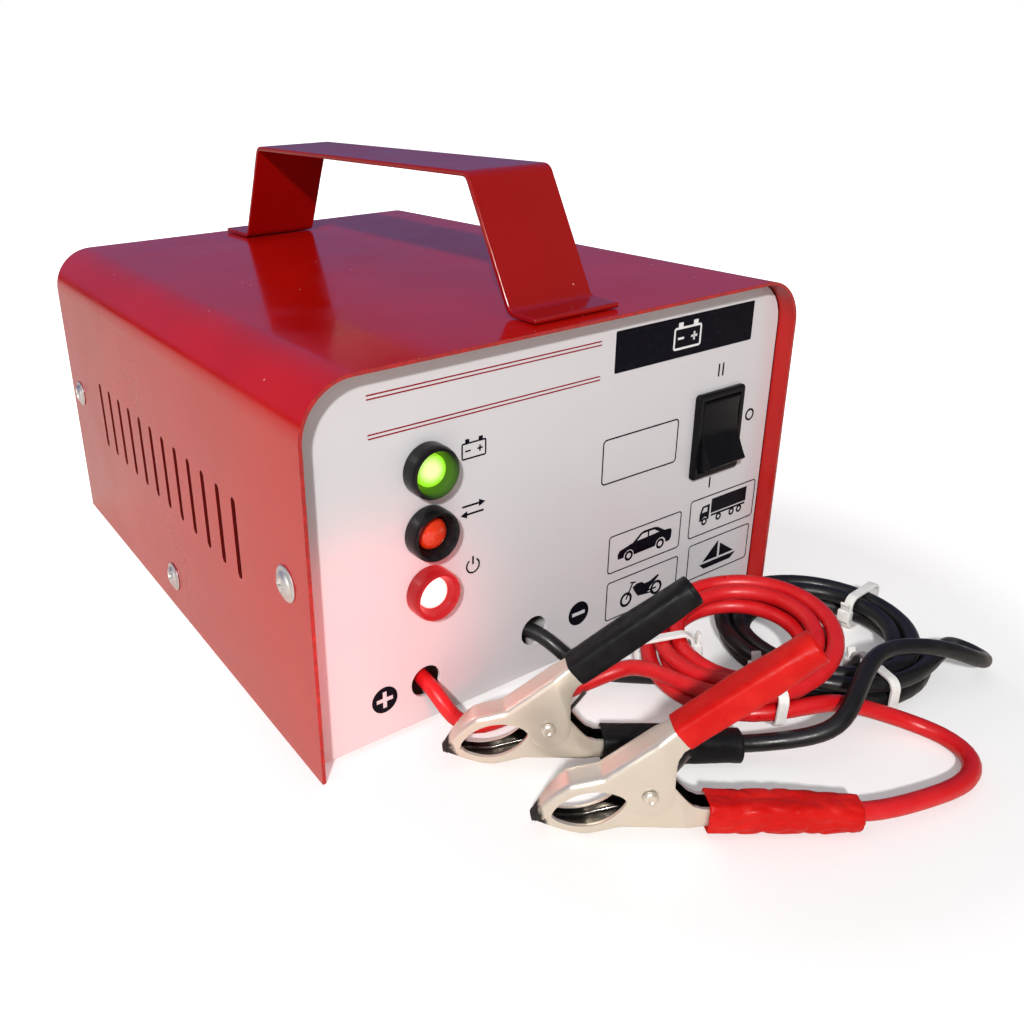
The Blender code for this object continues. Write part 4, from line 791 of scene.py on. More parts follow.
def make_cover_screws(looks):
    """Six washer-headed screws with a cross recess, one modelled and the rest copied."""
    rim, rise = 0.00475, 0.0017
    profile = [(0, rise)]
    for radius, height in (
        (0.16, 0.995), (0.32, 0.965), (0.46, 0.89), (0.58, 0.76), (0.66, 0.60), (0.70, 0.45),
        (0.73, 0.36), (0.78, 0.31), (0.88, 0.27), (0.96, 0.22), (1.0, 0.12), (0.99, 0.0),
    ):
        profile.append((rim * radius, rise * height))
    shank = 0.0019
    profile += [(shank, 0), (shank, -0.0060), (0.0012, -0.0074), (0, -0.0080)]
    screw = turned("cover_screw", profile, steps=48)
    arm, half = 0.00225, 0.00052
    cross = [(arm, -half), (arm, half), (half, half), (half, arm), (-half, arm), (-half, half)]
    cross += [(-x, -y) for x, y in cross]
    recess = drawn("recess", [(x, y, rise * 1.2) for x, y in cross], (0, 0, -rise * 0.85))
    with editing(recess):
        pick(recess, "FACE", lambda face: face.normal.z < -0.9)
        bpy.ops.transform.resize(value=(0.55, 0.55, 1))
    cut(screw, recess)
    soften(screw, 0.00007, 2, 40)
    for side, word in ((-1, "left"), (1, "right")):
        for turn, (name, y, z) in enumerate(SCREW_PLACES):
            spot = facing((side * (CASE_WIDTH / 2 + GAP * 0.3), y, z), (side, 0, 0))
            spot = spot @ Matrix.Rotation(0.4 + turn * 0.9 + side * 0.35, 4, "Z")
            node = f"cover_screw_{word}_{name}"
            twin = copied(screw, f"screw_{word}_{name}", spot)
            fit(twin, looks["zinc"], nodes=[node], smooth=32)
    bpy.data.objects.remove(screw)


# ---------------------------------------------------------------- panel prints
def print_shape(name, points):
    """One filled shape of ink on the film, from (X, Z) points."""
    return drawn(name, [(x, LABEL_FACE + INK / 2, z) for x, z in points], (0, -INK, 0))


def leave_bare(shape, points):
    """Takes the shape that these (X, Z) points draw out of a shape of ink."""
    hole = [(x, LABEL_FACE + 3 * INK, z) for x, z in points]
    cut(shape, drawn("hole", hole, (0, -6 * INK, 0)))
    return shape


def print_ring(name, outer, inner):
    """A line of ink between two outlines."""
    return leave_bare(print_shape(name, outer), inner)


def wheel(x, z, outside, inside):
    """A ring of ink between two diameters."""
    return print_ring("wheel", circle(x, z, outside), circle(x, z, inside))


def bar(x, z, width, height, turn=0.0):
    """The corners of a bar about its centre."""
    points = []
    for across, up in ((-1, -1), (1, -1), (1, 1), (-1, 1)):
        u, v = across * width / 2, up * height / 2
        points.append((x + u * cos(turn) - v * sin(turn), z + u * sin(turn) + v * cos(turn)))
    return points


def outlined(x, z, width, height, corner, line=0.0004):
    """A printed frame with round corners."""
    outer = rounded(width, height, corner, 6, x, z)
    inner = rounded(width - 2 * line, height - 2 * line, corner - line, 6, x, z)
    return print_ring("frame_line", outer, inner)


def moved(points, x, z):
    """A silhouette's points in millimetres, as places on the panel about (X, Z)."""
    return [(x + across * MM, z + up * MM) for across, up in points]


def car_shapes(x, z):
    """A saloon from the side, nose to the left."""
    body = [
        (-11.2, -1.6), (-11.4, 0.0), (-10.6, 1.1), (-7.0, 1.9), (-5.2, 2.3), (-2.2, 4.6), (-0.8, 5.0),
        (3.6, 4.9), (5.2, 4.5), (8.2, 2.6), (10.8, 2.4), (11.4, 1.6), (11.3, -0.8), (10.6, -1.7),
        (9.0, -1.8), (8.7, -0.6), (7.6, 0.4), (6.2, 0.5), (5.0, -0.2), (4.4, -1.8), (-4.6, -1.9),
        (-4.9, -0.6), (-5.9, 0.3), (-7.3, 0.4), (-8.5, -0.4), (-8.9, -1.7),
    ]
    glass = [(-3.6, 2.4), (-1.5, 4.1), (0.9, 4.2), (0.9, 2.5)]
    back_glass = [(1.5, 2.5), (1.5, 4.2), (3.6, 4.1), (5.9, 2.7)]
    car = print_shape("car", moved(body, x, z))
    for pane in (glass, back_glass):
        leave_bare(car, moved(pane, x, z))
    return [car] + [wheel(x + across * MM, z - 0.0016, 0.0034, 0.0018) for across in (-6.7, 6.6)]


def motorcycle_shapes(x, z):
    """A motorcycle from the side, front wheel to the left."""
    shapes = [wheel(x + across * MM, z - 0.0012, 0.0050, 0.0032) for across in (-6.8, 6.2)]
    body = [
        (-4.2, 2.2), (-2.6, 3.0), (-0.4, 2.9), (0.9, 1.9), (3.2, 2.0), (6.4, 3.3), (7.2, 2.9),
        (5.2, 1.2), (3.6, 0.2), (2.6, -1.6), (-1.6, -1.7), (-2.8, -0.2), (-3.6, 1.0),
    ]
    shapes.append(print_shape("tank_and_seat", moved(body, x, z)))
    for low, high, line in (
        ((-6.8, -1.2), (-4.2, 4.0), 0.0006), ((-5.4, 4.2), (-3.0, 3.7), 0.0005),
        ((1.5, -1.0), (6.2, -1.2), 0.0006), ((-0.6, -1.5), (5.2, -2.3), 0.0005),
    ):
        [middle] = moved([((low[0] + high[0]) / 2, (low[1] + high[1]) / 2)], x, z)
        run, climb = high[0] - low[0], high[1] - low[1]
        reach = sqrt(run * run + climb * climb) * MM
        shapes.append(print_shape("rod", bar(*middle, reach, line, atan2(climb, run))))
    return shapes


def truck_shapes(x, z):
    """A lorry from the side, cab to the left."""
    cab = [
        (-10.6, -1.8), (-10.6, 0.6), (-9.6, 3.2), (-6.2, 3.4), (-6.2, -1.8), (-7.0, -1.8),
        (-7.4, -0.8), (-8.4, -0.6), (-9.2, -1.2), (-9.4, -1.8),
    ]
    pane = [(-9.6, 1.0), (-8.9, 2.6), (-7.2, 2.6), (-7.2, 1.0)]
    shapes = [
        leave_bare(print_shape("cab", moved(cab, x, z)), moved(pane, x, z)),
        print_shape("load", bar(x + 0.0028, z + 0.0024, 0.0166, 0.0050)),
        print_shape("bed", bar(x + 0.0028, z - 0.0009, 0.0160, 0.0007)),
    ]
    places = (-8.2, -1.6, 4.6, 8.2)
    return shapes + [wheel(x + across * MM, z - 0.0023, 0.0026, 0.0012) for across in places]


def boat_shapes(x, z):
    """A sailing boat and its two sails."""
    hull = [(-8.6, -2.0), (8.8, -2.0), (6.2, -3.9), (-6.4, -3.9)]
    main_sail = [(-0.4, -1.2), (-0.4, 4.9), (-7.2, -1.2)]
    fore_sail = [(0.6, -1.2), (7.6, -1.2), (0.6, 3.6)]
    return [print_shape("boat", moved(part, x, z)) for part in (hull, main_sail, fore_sail)]


def battery_shapes(x, z, scale=1.0):
    """A battery from the front: a box with two posts, a plus and a minus."""
    width, height, line = 0.0078 * scale, 0.0046 * scale, 0.00045 * scale
    shapes = [outlined(x, z, width, height, 0.0006 * scale, line)]
    for side in (-1, 1):
        post = bar(x + side * width * 0.27, z + height / 2 + line, 0.0013 * scale, 2 * line)
        shapes.append(print_shape("post", post))
    shapes.append(print_shape("minus", bar(x - width * 0.24, z, 0.0017 * scale, line)))
    shapes.append(print_shape("plus", bar(x + width * 0.24, z, 0.0017 * scale, line)))
    shapes.append(print_shape("plus_post", bar(x + width * 0.24, z, line, 0.0017 * scale)))
    return shapes


def swapped_shapes(x, z):
    """Two arrows that point opposite ways, for leads put on the wrong way round."""
    shapes = []
    barb = 0.00105
    for side in (-1, 1):
        up = z + side * 0.0012
        shapes.append(print_shape("shaft", bar(x - side * 0.0006, up, 0.0056, 0.00055)))
        point, neck = x + side * 0.0040, x + side * 0.0019
        shapes.append(print_shape("arrow", [(point, up), (neck, up + barb), (neck, up - barb)]))
    return shapes


def power_shapes(x, z):
    """A broken ring and a bar."""
    start, sweep = radians(125), radians(290)
    outer = circle(x, z, 0.0046, 32, start, sweep)
    inner = circle(x, z, 0.0036, 32, start, sweep)
    return [
        print_shape("ring", outer + inner[::-1]),
        print_shape("stroke", bar(x, z + 0.0016, 0.00055, 0.0024)),
    ]


def sign_disc(x, z, plus):
    """A black disc that is bare where its plus or minus is."""
    reach, line = 0.0050, 0.0012
    disc = leave_bare(print_shape("disc", circle(x, z, 0.0078, 48)), bar(x, z, reach, line))
    return leave_bare(disc, bar(x, z, line, reach)) if plus else disc


def make_prints(looks):
    """Everything printed on the panel, joined into one piece for each ink."""
    red = []
    rule_middle, rule_length, rule_width, rule_pitch = -0.0272, 0.0728, 0.00036, 0.0010
    for low in (0.0862, 0.0959):
        for step in (0, 1):
            rule = bar(rule_middle, low + step * rule_pitch, rule_length, rule_width)
            red.append(print_shape("rule", rule))
    banner = [print_shape("banner", rounded(0.0562, 0.0119, 0.0004, 3, 0.0425, 0.09275))]
    black = [outlined(0.0269, 0.0610, 0.0303, 0.0140, 0.0014, 0.00045)]
    boxes = (  # X, Z, width and height
        (0.0316, 0.0302, 0.0306, 0.0127), (0.0318, 0.0142, 0.0306, 0.0134),
        (0.0660, 0.0317, 0.0306, 0.0133), (0.0662, 0.0160, 0.0290, 0.0130),
    )
    for x, z, width, height in boxes:
        black.append(outlined(x, z, width, height, 0.0012))
    black += car_shapes(0.0316, 0.0294)
    black += motorcycle_shapes(0.0318, 0.0137)
    black += truck_shapes(0.0660, 0.0318)
    black += boat_shapes(0.0662, 0.0157)
    black += battery_shapes(-0.0330, 0.0764)
    black += swapped_shapes(-0.0333, 0.0600)
    black += power_shapes(-0.0333, 0.0434)
    stroke = 0.00065
    for shift in (-0.0009, 0.0009):
        black.append(print_shape("two", bar(SWITCH_X + shift, 0.0796, stroke, 0.0040)))
    black.append(print_shape("one", bar(SWITCH_X, 0.0430, stroke, 0.0036)))
    nought = (0.0742, 0.0620)
    black.append(print_ring("nought", circle(*nought, 0.0040), circle(*nought, 0.0027)))
    black.append(sign_disc(-0.0619, 0.0129, True))
    black.append(sign_disc(0.0055, 0.0147, False))
    white = battery_shapes(0.0425, 0.0924, 1.45)
    for shape in white:
        shape.data.transform(Matrix.Translation((0, -INK / 2, 0)))
    for name, shapes, finish in (
        ("print_red", red, "red_ink"), ("print_banner", banner, "black_ink"),
        ("print_black", black, "black_ink"), ("print_white", white, "white_ink"),
    ):
        fit(join(name, shapes), looks[finish], smooth=0)


def make_panel_film(looks):
    """The printed film on the front panel, cut out for the lamps, the switch and the leads."""
    wide, high, corner, bottom = 0.1648, 0.1024, 0.0129, 0.0012
    points = []
    for x, z in rounded(wide, 2 * high, corner, 12, 0, 0.0010):
        point = Vector((x, PANEL + GAP * 0.1, max(z, bottom)))
        if not points or (point - points[-1]).length > 1e-5:
            points.append(point)
    film = drawn("panel_film", points, (0, -LABEL_SHEET, 0))
    deep, lamp_hole, cord_hole = 0.004, 0.0120, 0.0095
    for place in range(3):
        spot = (LAMP_X, PANEL, LAMP_TOP - place * LAMP_PITCH)
        cut(film, rod("hole", spot, lamp_hole, deep, "y"))
    for x, z in CORD_HOLES:
        cut(film, rod("hole", (x, PANEL, z), cord_hole, deep, "y", 48))
    cut(film, beam("hole", SWITCH_X, SWITCH_Z, 0.0190, 0.0256, PANEL - deep / 2, PANEL + deep / 2))
    fit(film, looks["label_film"], smooth=25)


# ---------------------------------------------------------------- lamps
def make_lamps(looks):
    """Three lamps in dished black holders: green lit, orange dark, red lit."""
    rim, bore, barrel, back = 0.0070, 0.0046, 0.0056, -0.008
    radius, flange, sheet = 0.0043, 0.0049, 0.0013
    holder = [
        (bore, LAMP_RISE * 0.30), (bore, LAMP_RISE * 0.42), (bore * 1.06, LAMP_RISE * 0.52),
        (rim * 0.80, LAMP_RISE * 0.90), (rim * 0.84, LAMP_RISE * 0.985), (rim * 0.88, LAMP_RISE),
        (rim * 0.93, LAMP_RISE * 0.97), (rim * 0.975, LAMP_RISE * 0.86), (rim, LAMP_RISE * 0.66),
        (rim, GAP * 0.9), (barrel, GAP * 0.9), (barrel, back), (bore, back),
    ]
    dome = LAMP_RISE * 0.86
    lens = [(0, dome)]
    for step in range(1, 13):
        angle = step / 12 * pi / 2
        lens.append((radius * sin(angle), dome - radius * 0.62 * (1 - cos(angle))))
    lens += [(radius, back - GAP), (flange, back - GAP), (flange, back - sheet), (0, back - sheet)]
    for place, word in enumerate(("green", "orange", "red")):
        spot = facing((LAMP_X, PANEL - LABEL_SHEET, LAMP_TOP - place * LAMP_PITCH), (0, -1, 0))
        piece, node = turned(f"holder_{word}", holder, spot), f"lamp_holder_{word}"
        fit(piece, looks[f"{word}_holder"], nodes=[node], smooth=32)
        piece, node = turned(f"lens_{word}", lens, spot), f"lamp_{word}"
        fit(piece, looks[f"{word}_lens"], nodes=[node], smooth=50)


# ---------------------------------------------------------------- switch
def make_switch(looks):
    """The rocker switch's frame, hollow behind its mouth, and the three blades behind it."""
    face = SWITCH_FACE
    width, height = 0.0205, 0.0272
    outer = [(x, PANEL - GAP, z) for x, z in rounded(width, height, 0.0012, 6, SWITCH_X, SWITCH_Z)]
    bezel = drawn("rocker_frame", outer, (0, face - PANEL + GAP, 0))
    with editing(bezel):
        pick(bezel, "EDGE", lambda edge: middle_of(edge).y < face + GAP / 3
             and abs(edge.verts[0].co.y - edge.verts[1].co.y) < GAP / 3)
        bpy.ops.mesh.bevel(offset=0.0007, segments=4)
    unite(bezel, beam("body", SWITCH_X, SWITCH_Z, 0.0185, 0.0252, PANEL - 0.001, PANEL + 0.020))
    cut(bezel, beam("mouth", SWITCH_X, SWITCH_Z, 0.0165, 0.0232, face - 0.001, face + 0.0102))
    soften(bezel, 0.00018, 2, 55)
    blades = []
    blade_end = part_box("switch_frame")[1].y
    for step in (-1, 0, 1):
        z = SWITCH_Z + step * 0.0075
        blade = beam("blade", SWITCH_X, z, 0.0062, 0.0008, PANEL + 0.0195, blade_end)
        soften(blade, 0.0002, 2, 50)
        cut(blade, rod("hole", (SWITCH_X, blade_end - 0.0030, z), 0.0016, 0.004, "z", 24))
        blades.append(blade)
    fit(join("switch_blades", blades), looks["tin"], smooth=35)
    fit(bezel, looks["switch_plastic"], nodes=["switch_frame"], smooth=30)


def make_rocker(looks):
    """The rocker with its dished face, its top pressed in."""
    radius, half, keel = 0.0113, 0.00795, (-0.0033, 0.0)
    dish = []
    for end in (1, -1):
        arc = []
        for step in range(11):
            angle = radians(28.7) - radians(48.7) * step / 10
            arc.append((-radius * sin(angle), end * radius * cos(angle)))
        dish.append(arc)
    top, bottom = dish
    profile = []
    for start, finish in ((bottom[0], keel), (keel, top[0])):
        for step in range(1, 8):
            part = step / 8
            sag = 0.00035 * sin(pi * part)
            across = start[0] + (finish[0] - start[0]) * part + sag
            profile.append((across, start[1] + (finish[1] - start[1]) * part))
        if finish == keel:
            profile.append(keel)
    profile += top + bottom[::-1]
    rocker = drawn("rocker", [(-half, y, z) for y, z in profile], (2 * half, 0, 0))
    pivot, pressed = Vector((SWITCH_X, SWITCH_FACE + 0.003, SWITCH_Z)), -radians(12)
    rocker.data.transform(Matrix.Translation(pivot) @ Matrix.Rotation(pressed, 4, "X"))
    soften(rocker, 0.00035, 3, 40)
    fit(rocker, looks["rocker_plastic"], "rocker", ["switch_rocker"], smooth=30)


# ---------------------------------------------------------------- back panel
def behind(node):
    """The place on the back panel behind which a node sits, facing out."""
    low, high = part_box(node)
    return facing(((low.x + high.x) / 2, REAR_PANEL, (low.z + high.z) / 2), (0, 1, 0))


def make_grommet(looks):
    """The rubber grommet in the mains cord's hole."""
    profile = [
        (0.00375, 0.0026), (0.0040, 0.0030), (0.0066, 0.0030), (0.0078, 0.0027), (0.0088, 0.0021),
        (0.0094, 0.0014), (0.0095, GAP), (0.0075, GAP), (0.0075, -0.0045), (0.0073, -0.0048),
        (0.0064, -0.0090), (0.0042, -0.0090), (0.00375, -0.0086),
    ]
    grommet = turned("grommet", profile, behind("cord_grommet"))
    fit(grommet, looks["rubber"], nodes=["cord_grommet"], smooth=35)


def make_fuse_holder(looks):
    """The fuse holder's barrel, and its slotted cap."""
    spot = behind("fuse_holder")
    profile = [
        (0.00505, 0.0013), (0.0078, 0.0013), (0.0083, 0.0011), (0.0085, 0.0007), (0.0085, GAP),
        (0.00625, GAP), (0.00625, -0.0296), (0.0058, -0.0300), (0, -0.0300), (0, -0.0282),
        (0.00505, -0.0282),
    ]
    barrel = turned("fuse_socket", profile, spot)
    fit(barrel, looks["switch_plastic"], nodes=["fuse_holder"], smooth=35)
    profile = [
        (0, 0.0050), (0.0050, 0.0050), (0.0056, 0.0048), (0.0060, 0.0044), (0.00625, 0.0040),
        (0.00625, 0.0016), (0.00475, 0.0016), (0.00475, -0.0050), (0, -0.0050),
    ]
    cap = turned("fuse_knob", profile, spot, steps=72)
    driver_slot = block("slot", (-0.0047, -0.00065, 0.0037), (0.0047, 0.00065, 0.0062))
    driver_slot.data.transform(spot)
    cut(cap, driver_slot)
    soften(cap, 0.00012, 2, 50)
    fit(cap, looks["switch_plastic"], "fuse_cap", ["fuse_cap"], smooth=32)


def make_selector(looks):
    """The voltage selector's body, and its grooved red slider."""
    low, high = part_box("selector_body")
    x, z = (low.x + high.x) / 2, (low.z + high.z) / 2
    wide, tall = high.x - low.x, high.z - low.z
    face = [(px, REAR_PANEL + GAP, pz) for px, pz in rounded(wide, tall, 0.0012, 6, x, z)]
    body = drawn("selector_plate", face, (0, high.y - REAR_PANEL - GAP, 0))
    with editing(body):
        pick(body, "FACE", lambda item: item.normal.y > 0.9)
        bpy.ops.mesh.bevel(offset=0.0004, segments=3)
    unite(body, beam("back", x, z, wide - 0.002, tall - 0.002, low.y, REAR_PANEL + 0.0008))
    nub_low, nub_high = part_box("selector_slider")
    travel = 0.004
    mouth = block(
        "mouth", (nub_low.x - GAP, nub_low.y - GAP, nub_low.z - GAP),
        (nub_high.x + travel + GAP, high.y + 0.001, nub_high.z + GAP),
    )
    cut(body, mouth)
    soften(body, 0.00015, 2, 50)
    fit(body, looks["switch_plastic"], nodes=["selector_body"], smooth=30)
    nub = block("selector_nub", nub_low, nub_high)
    groove, pitch = 0.0008, 0.0019
    for step in (-1, 0, 1):
        middle = (nub_low.x + nub_high.x) / 2 + step * pitch
        floor, top = nub_high.y - 0.0005, nub_high.y + 0.001
        up, tall = (nub_low.z + nub_high.z) / 2, nub_high.z - nub_low.z + 2 * GAP
        cut(nub, beam("groove", middle, up, groove, tall, floor, top))
    soften(nub, 0.00018, 2, 50)
    fit(nub, looks["red_moulding"], "slider", ["selector_slider"], smooth=30)


# ---------------------------------------------------------------- clips
def arm_edges(along, side):
    """How far a clip's arm reaches from the middle line here: its inner edge and outer face."""
    belly = CLIP_BELLY + (UPPER_EXTRA if side == 1 else 0)
    if along < CLIP_BULGE:
        part = (CLIP_BULGE - along) / (CLIP_BULGE - CLIP_TIP)
        outer = CLIP_TIP_HEIGHT + (belly - CLIP_TIP_HEIGHT) * (1 - part**1.4)
    elif along < CLIP_STRAIGHT:
        part = (along - CLIP_BULGE) / (CLIP_STRAIGHT - CLIP_BULGE)
        outer = belly + (CLIP_BACK - belly) * part
    else:
        outer = CLIP_BACK + tan(CLIP_SPREAD) * (along - CLIP_STRAIGHT)
    if along <= CLIP_EYE_FRONT:
        inner = GAP / 2
    elif along <= CLIP_EYE_BACK:
        part = (along - CLIP_EYE_FRONT) / (CLIP_EYE_BACK - CLIP_EYE_FRONT)
        depth = CLIP_EYE_DEPTH + belly - CLIP_BELLY
        inner = GAP / 2 + depth * max(0.0, sin(pi * part)) ** 0.6
        inner = min(inner, outer - 2.0 * CLIP_SHEET)
    elif along <= CLIP_CHEEK:
        inner = -sqrt(max(0.0, CLIP_CHEEK**2 - along**2))
    else:
        part = min(1.0, (along - CLIP_CHEEK) / (CLIP_CROTCH - CLIP_CHEEK))
        inner = (outer - CHANNEL_HEIGHT) * sin(part * pi / 2)
    return inner, outer


def arm_rows(side):
    """Cross-sections of a clip's arm from its teeth to the end of its handle."""
    places = []
    pitch = (CLIP_EYE_FRONT - CLIP_TIP) / CLIP_TEETH
    for tooth in range(CLIP_TEETH):
        for part, bite in ((0.0, 0.0), (0.3, 0.25), (0.5, 0.7), (0.7, 0.25)):
            places.append((CLIP_TIP + (tooth + part) * pitch, bite * CLIP_SHEET))
    for low, high, count in (
        (CLIP_EYE_FRONT, CLIP_EYE_BACK, 26), (CLIP_EYE_BACK + GAP, CLIP_CHEEK, 22),
        (CLIP_CHEEK * 1.06, CLIP_CROTCH, 10), (CLIP_CROTCH * 1.1, HANDLE_END, 10),
    ):
        for step in range(count):
            places.append((low + (high - low) * step / (count - 1), 0.0))
    bend = CLIP_SHEET * 1.7
    rows = []
    for along, bite in places:
        inner, outer = arm_edges(along, side)
        inner += bite
        grown = min(1.0, (along - CLIP_TIP) / (CLIP_BULGE * 0.8 - CLIP_TIP))
        half = CLIP_WIDTH / 2 * (0.42 + 0.58 * sin(grown * pi / 2))
        slim = min(1.0, max(0.0, (along - CLIP_CHEEK) / (SLEEVE_START - CLIP_CHEEK)))
        half *= 1 - (1 - HANDLE_SLIM) * slim
        if along > CLIP_CROTCH:
            inner += 0.0006 * slim
        knee = max(outer - bend, inner + GAP)
        tall = outer - knee
        flank = [(half, inner + (knee - inner) * step / 4) for step in range(4)]
        for step in range(7):
            angle = step / 6 * pi / 2
            flank.append((half - bend * (1 - cos(angle)), knee + tall * sin(angle)))
        flank.append(((half - bend) * 0.5, outer))
        section = flank + [(0.0, outer)] + [(-width, height) for width, height in flank[::-1]]
        rows.append([
            Vector((along, width - side * CLIP_STAGGER, side * height)) for width, height in section
        ])
    return rows


def loft(name, rows, closed=False):
    """A surface through rows of as many points each. A closed one is joined along both ways."""
    if closed:
        rows = [row + [row[0]] for row in rows]
        rows = rows + [rows[0]]
    across, along = len(rows[0]) - 1, len(rows) - 1
    bpy.ops.mesh.primitive_grid_add(x_subdivisions=across, y_subdivisions=along, size=2)
    obj = bpy.context.object
    obj.name = obj.data.name = name
    for vertex in obj.data.vertices:
        column = round((vertex.co.x + 1) / 2 * across)
        row = round((vertex.co.y + 1) / 2 * along)
        vertex.co = rows[row][column]
    return merged(obj) if closed else obj


def make_arm(name, side):
    """A stamped steel arm: a channel with a toothed tip. Side is 1 for the upper, -1 for the lower."""
    arm = loft(name, arm_rows(side))
    web = max(arm.data.polygons, key=lambda face: side * face.center.z)
    if web.normal.z * side < 0:
        with editing(arm):
            bpy.ops.mesh.select_all(action="SELECT")
            bpy.ops.mesh.flip_normals()
    thicken(arm, CLIP_SHEET)
    rivet_hole = 0.0030
    cut(arm, rod("hole", (0, 0, 0), rivet_hole, 2 * CLIP_WIDTH, "y", 32))
    soften(arm, 0.00016, 2, 60)
    return arm


def dent_at(place, part, wrinkles):
    """How far soft vinyl stands out of a true tube at a place of its noise."""
    dent = noise.noise(place) * 0.00025 * (0.3 + part)
    ridge = 1 - abs(noise.noise(place * Vector((1.9, 1.3, 1.3)) * 1.4)) * 2
    dent -= wrinkles * max(0.0, ridge) ** 3
    return dent + wrinkles * 0.7 * noise.noise(place * 3.1)


def sleeve_rows(side, slack, wrinkles, seed):
    """Rings of a soft tube over an arm's handle: flat where it grips, and round at its open end."""
    way = Vector((cos(CLIP_SPREAD), 0, side * sin(CLIP_SPREAD)))
    outward = Vector((-sin(CLIP_SPREAD), 0, side * cos(CLIP_SPREAD)))
    origin = Vector((CLIP_STRAIGHT, -side * CLIP_STAGGER, side * CLIP_BACK))
    first = (SLEEVE_START - CLIP_STRAIGHT) / cos(CLIP_SPREAD)
    tall = CHANNEL_HEIGHT * cos(CLIP_SPREAD) - 0.0006
    around, stops = 64, 60
    outer_rows, inner_rows = [], []
    for stop in range(stops + 1):
        part = stop / stops
        grip = 1 - min(1.0, max(0.0, (part - 0.5) / 0.5)) ** 1.5
        flare = 0.0003 * max(0.0, (part - 0.85) / 0.15) ** 2
        for wall, rows in ((slack + SLEEVE_SHEET, outer_rows), (slack, inner_rows)):
            half_wide = CLIP_WIDTH / 2 * HANDLE_SLIM + wall + flare
            half_tall = tall / 2 + wall + flare
            power = 2.1 + 2.6 * grip
            ring = []
            for step in range(around):
                angle = 2 * pi * step / around
                c, s = cos(angle), sin(angle)
                reach = (abs(c) ** power + abs(s) ** power) ** (-1 / power)
                u, v = half_wide * reach * c, half_tall * reach * s
                place = Vector((part * 2.4 + seed, c * 0.9, s * 0.9))
                grow = 1 + dent_at(place, part, wrinkles) / half_wide
                point = origin + way * (first + part * SLEEVE_LENGTH)
                point = point + Vector((0, u * grow, 0)) + outward * (v * grow - tall / 2)
                ring.append(point)
            rows.append(ring)
    lips = []
    for end, shift in ((0, -0.0002), (-1, 0.00025)):
        pairs = zip(outer_rows[end], inner_rows[end])
        lips.append([(outer + inner) / 2 + way * shift for outer, inner in pairs])
    return [lips[0], *outer_rows, lips[1], *inner_rows[::-1]]


def make_sleeve(name, side, slack, wrinkles, seed, place):
    """A vinyl sleeve, put on its clip and kept off the floor."""
    sleeve = loft(name, sleeve_rows(side, slack, wrinkles, seed), closed=True)
    sleeve.data.transform(place)
    for vertex in sleeve.data.vertices:
        vertex.co.z = max(vertex.co.z, GAP / 2)
    return sleeve


def make_spring(name, place, first, last, leg):
    """A torsion spring round the rivet, from one turn to another. A leg lies along the upper arm."""
    points = []
    count = round((last - first) * 28)
    for step in range(count + 1):
        turn = first + (last - first) * step / count
        angle = SPRING_LEAVE + (turn - SPRING_TURNS) * 2 * pi
        across = (turn - SPRING_TURNS / 2) * SPRING_PITCH
        points.append(Vector((SPRING_RADIUS * cos(angle), across, SPRING_RADIUS * sin(angle))))
    end = points[-1]
    along = Vector((-sin(SPRING_LEAVE), 0, cos(SPRING_LEAVE))) * SPRING_LEG
    for part in (0.15, 0.4, 0.7, 1.0) if leg else ():
        points.append(end + along * part)
    spring = cable(name, [place @ point for point in points], None, WIRE, 4)
    only(spring)
    bpy.ops.object.convert(target="MESH")
    return bpy.context.object


def make_rivet(name):
    """A rivet across a clip, with a dimpled head at either end."""
    reach = CLIP_WIDTH / 2 + CLIP_STAGGER + GAP
    head, rise, shank = PIN_HEAD / 2, 0.0009, 0.0012
    profile = []
    for radius, height in (
        (0, 0.78), (0.30, 0.80), (0.42, 1), (0.62, 0.97), (0.85, 0.70), (0.97, 0.35), (1, 0)
    ):
        profile.append((head * radius, reach + rise * height))
    profile.append((shank, reach))
    profile += [(radius, -height) for radius, height in profile[::-1]]
    return turned(name, profile, Matrix.Rotation(pi / 2, 4, "X"), steps=48)


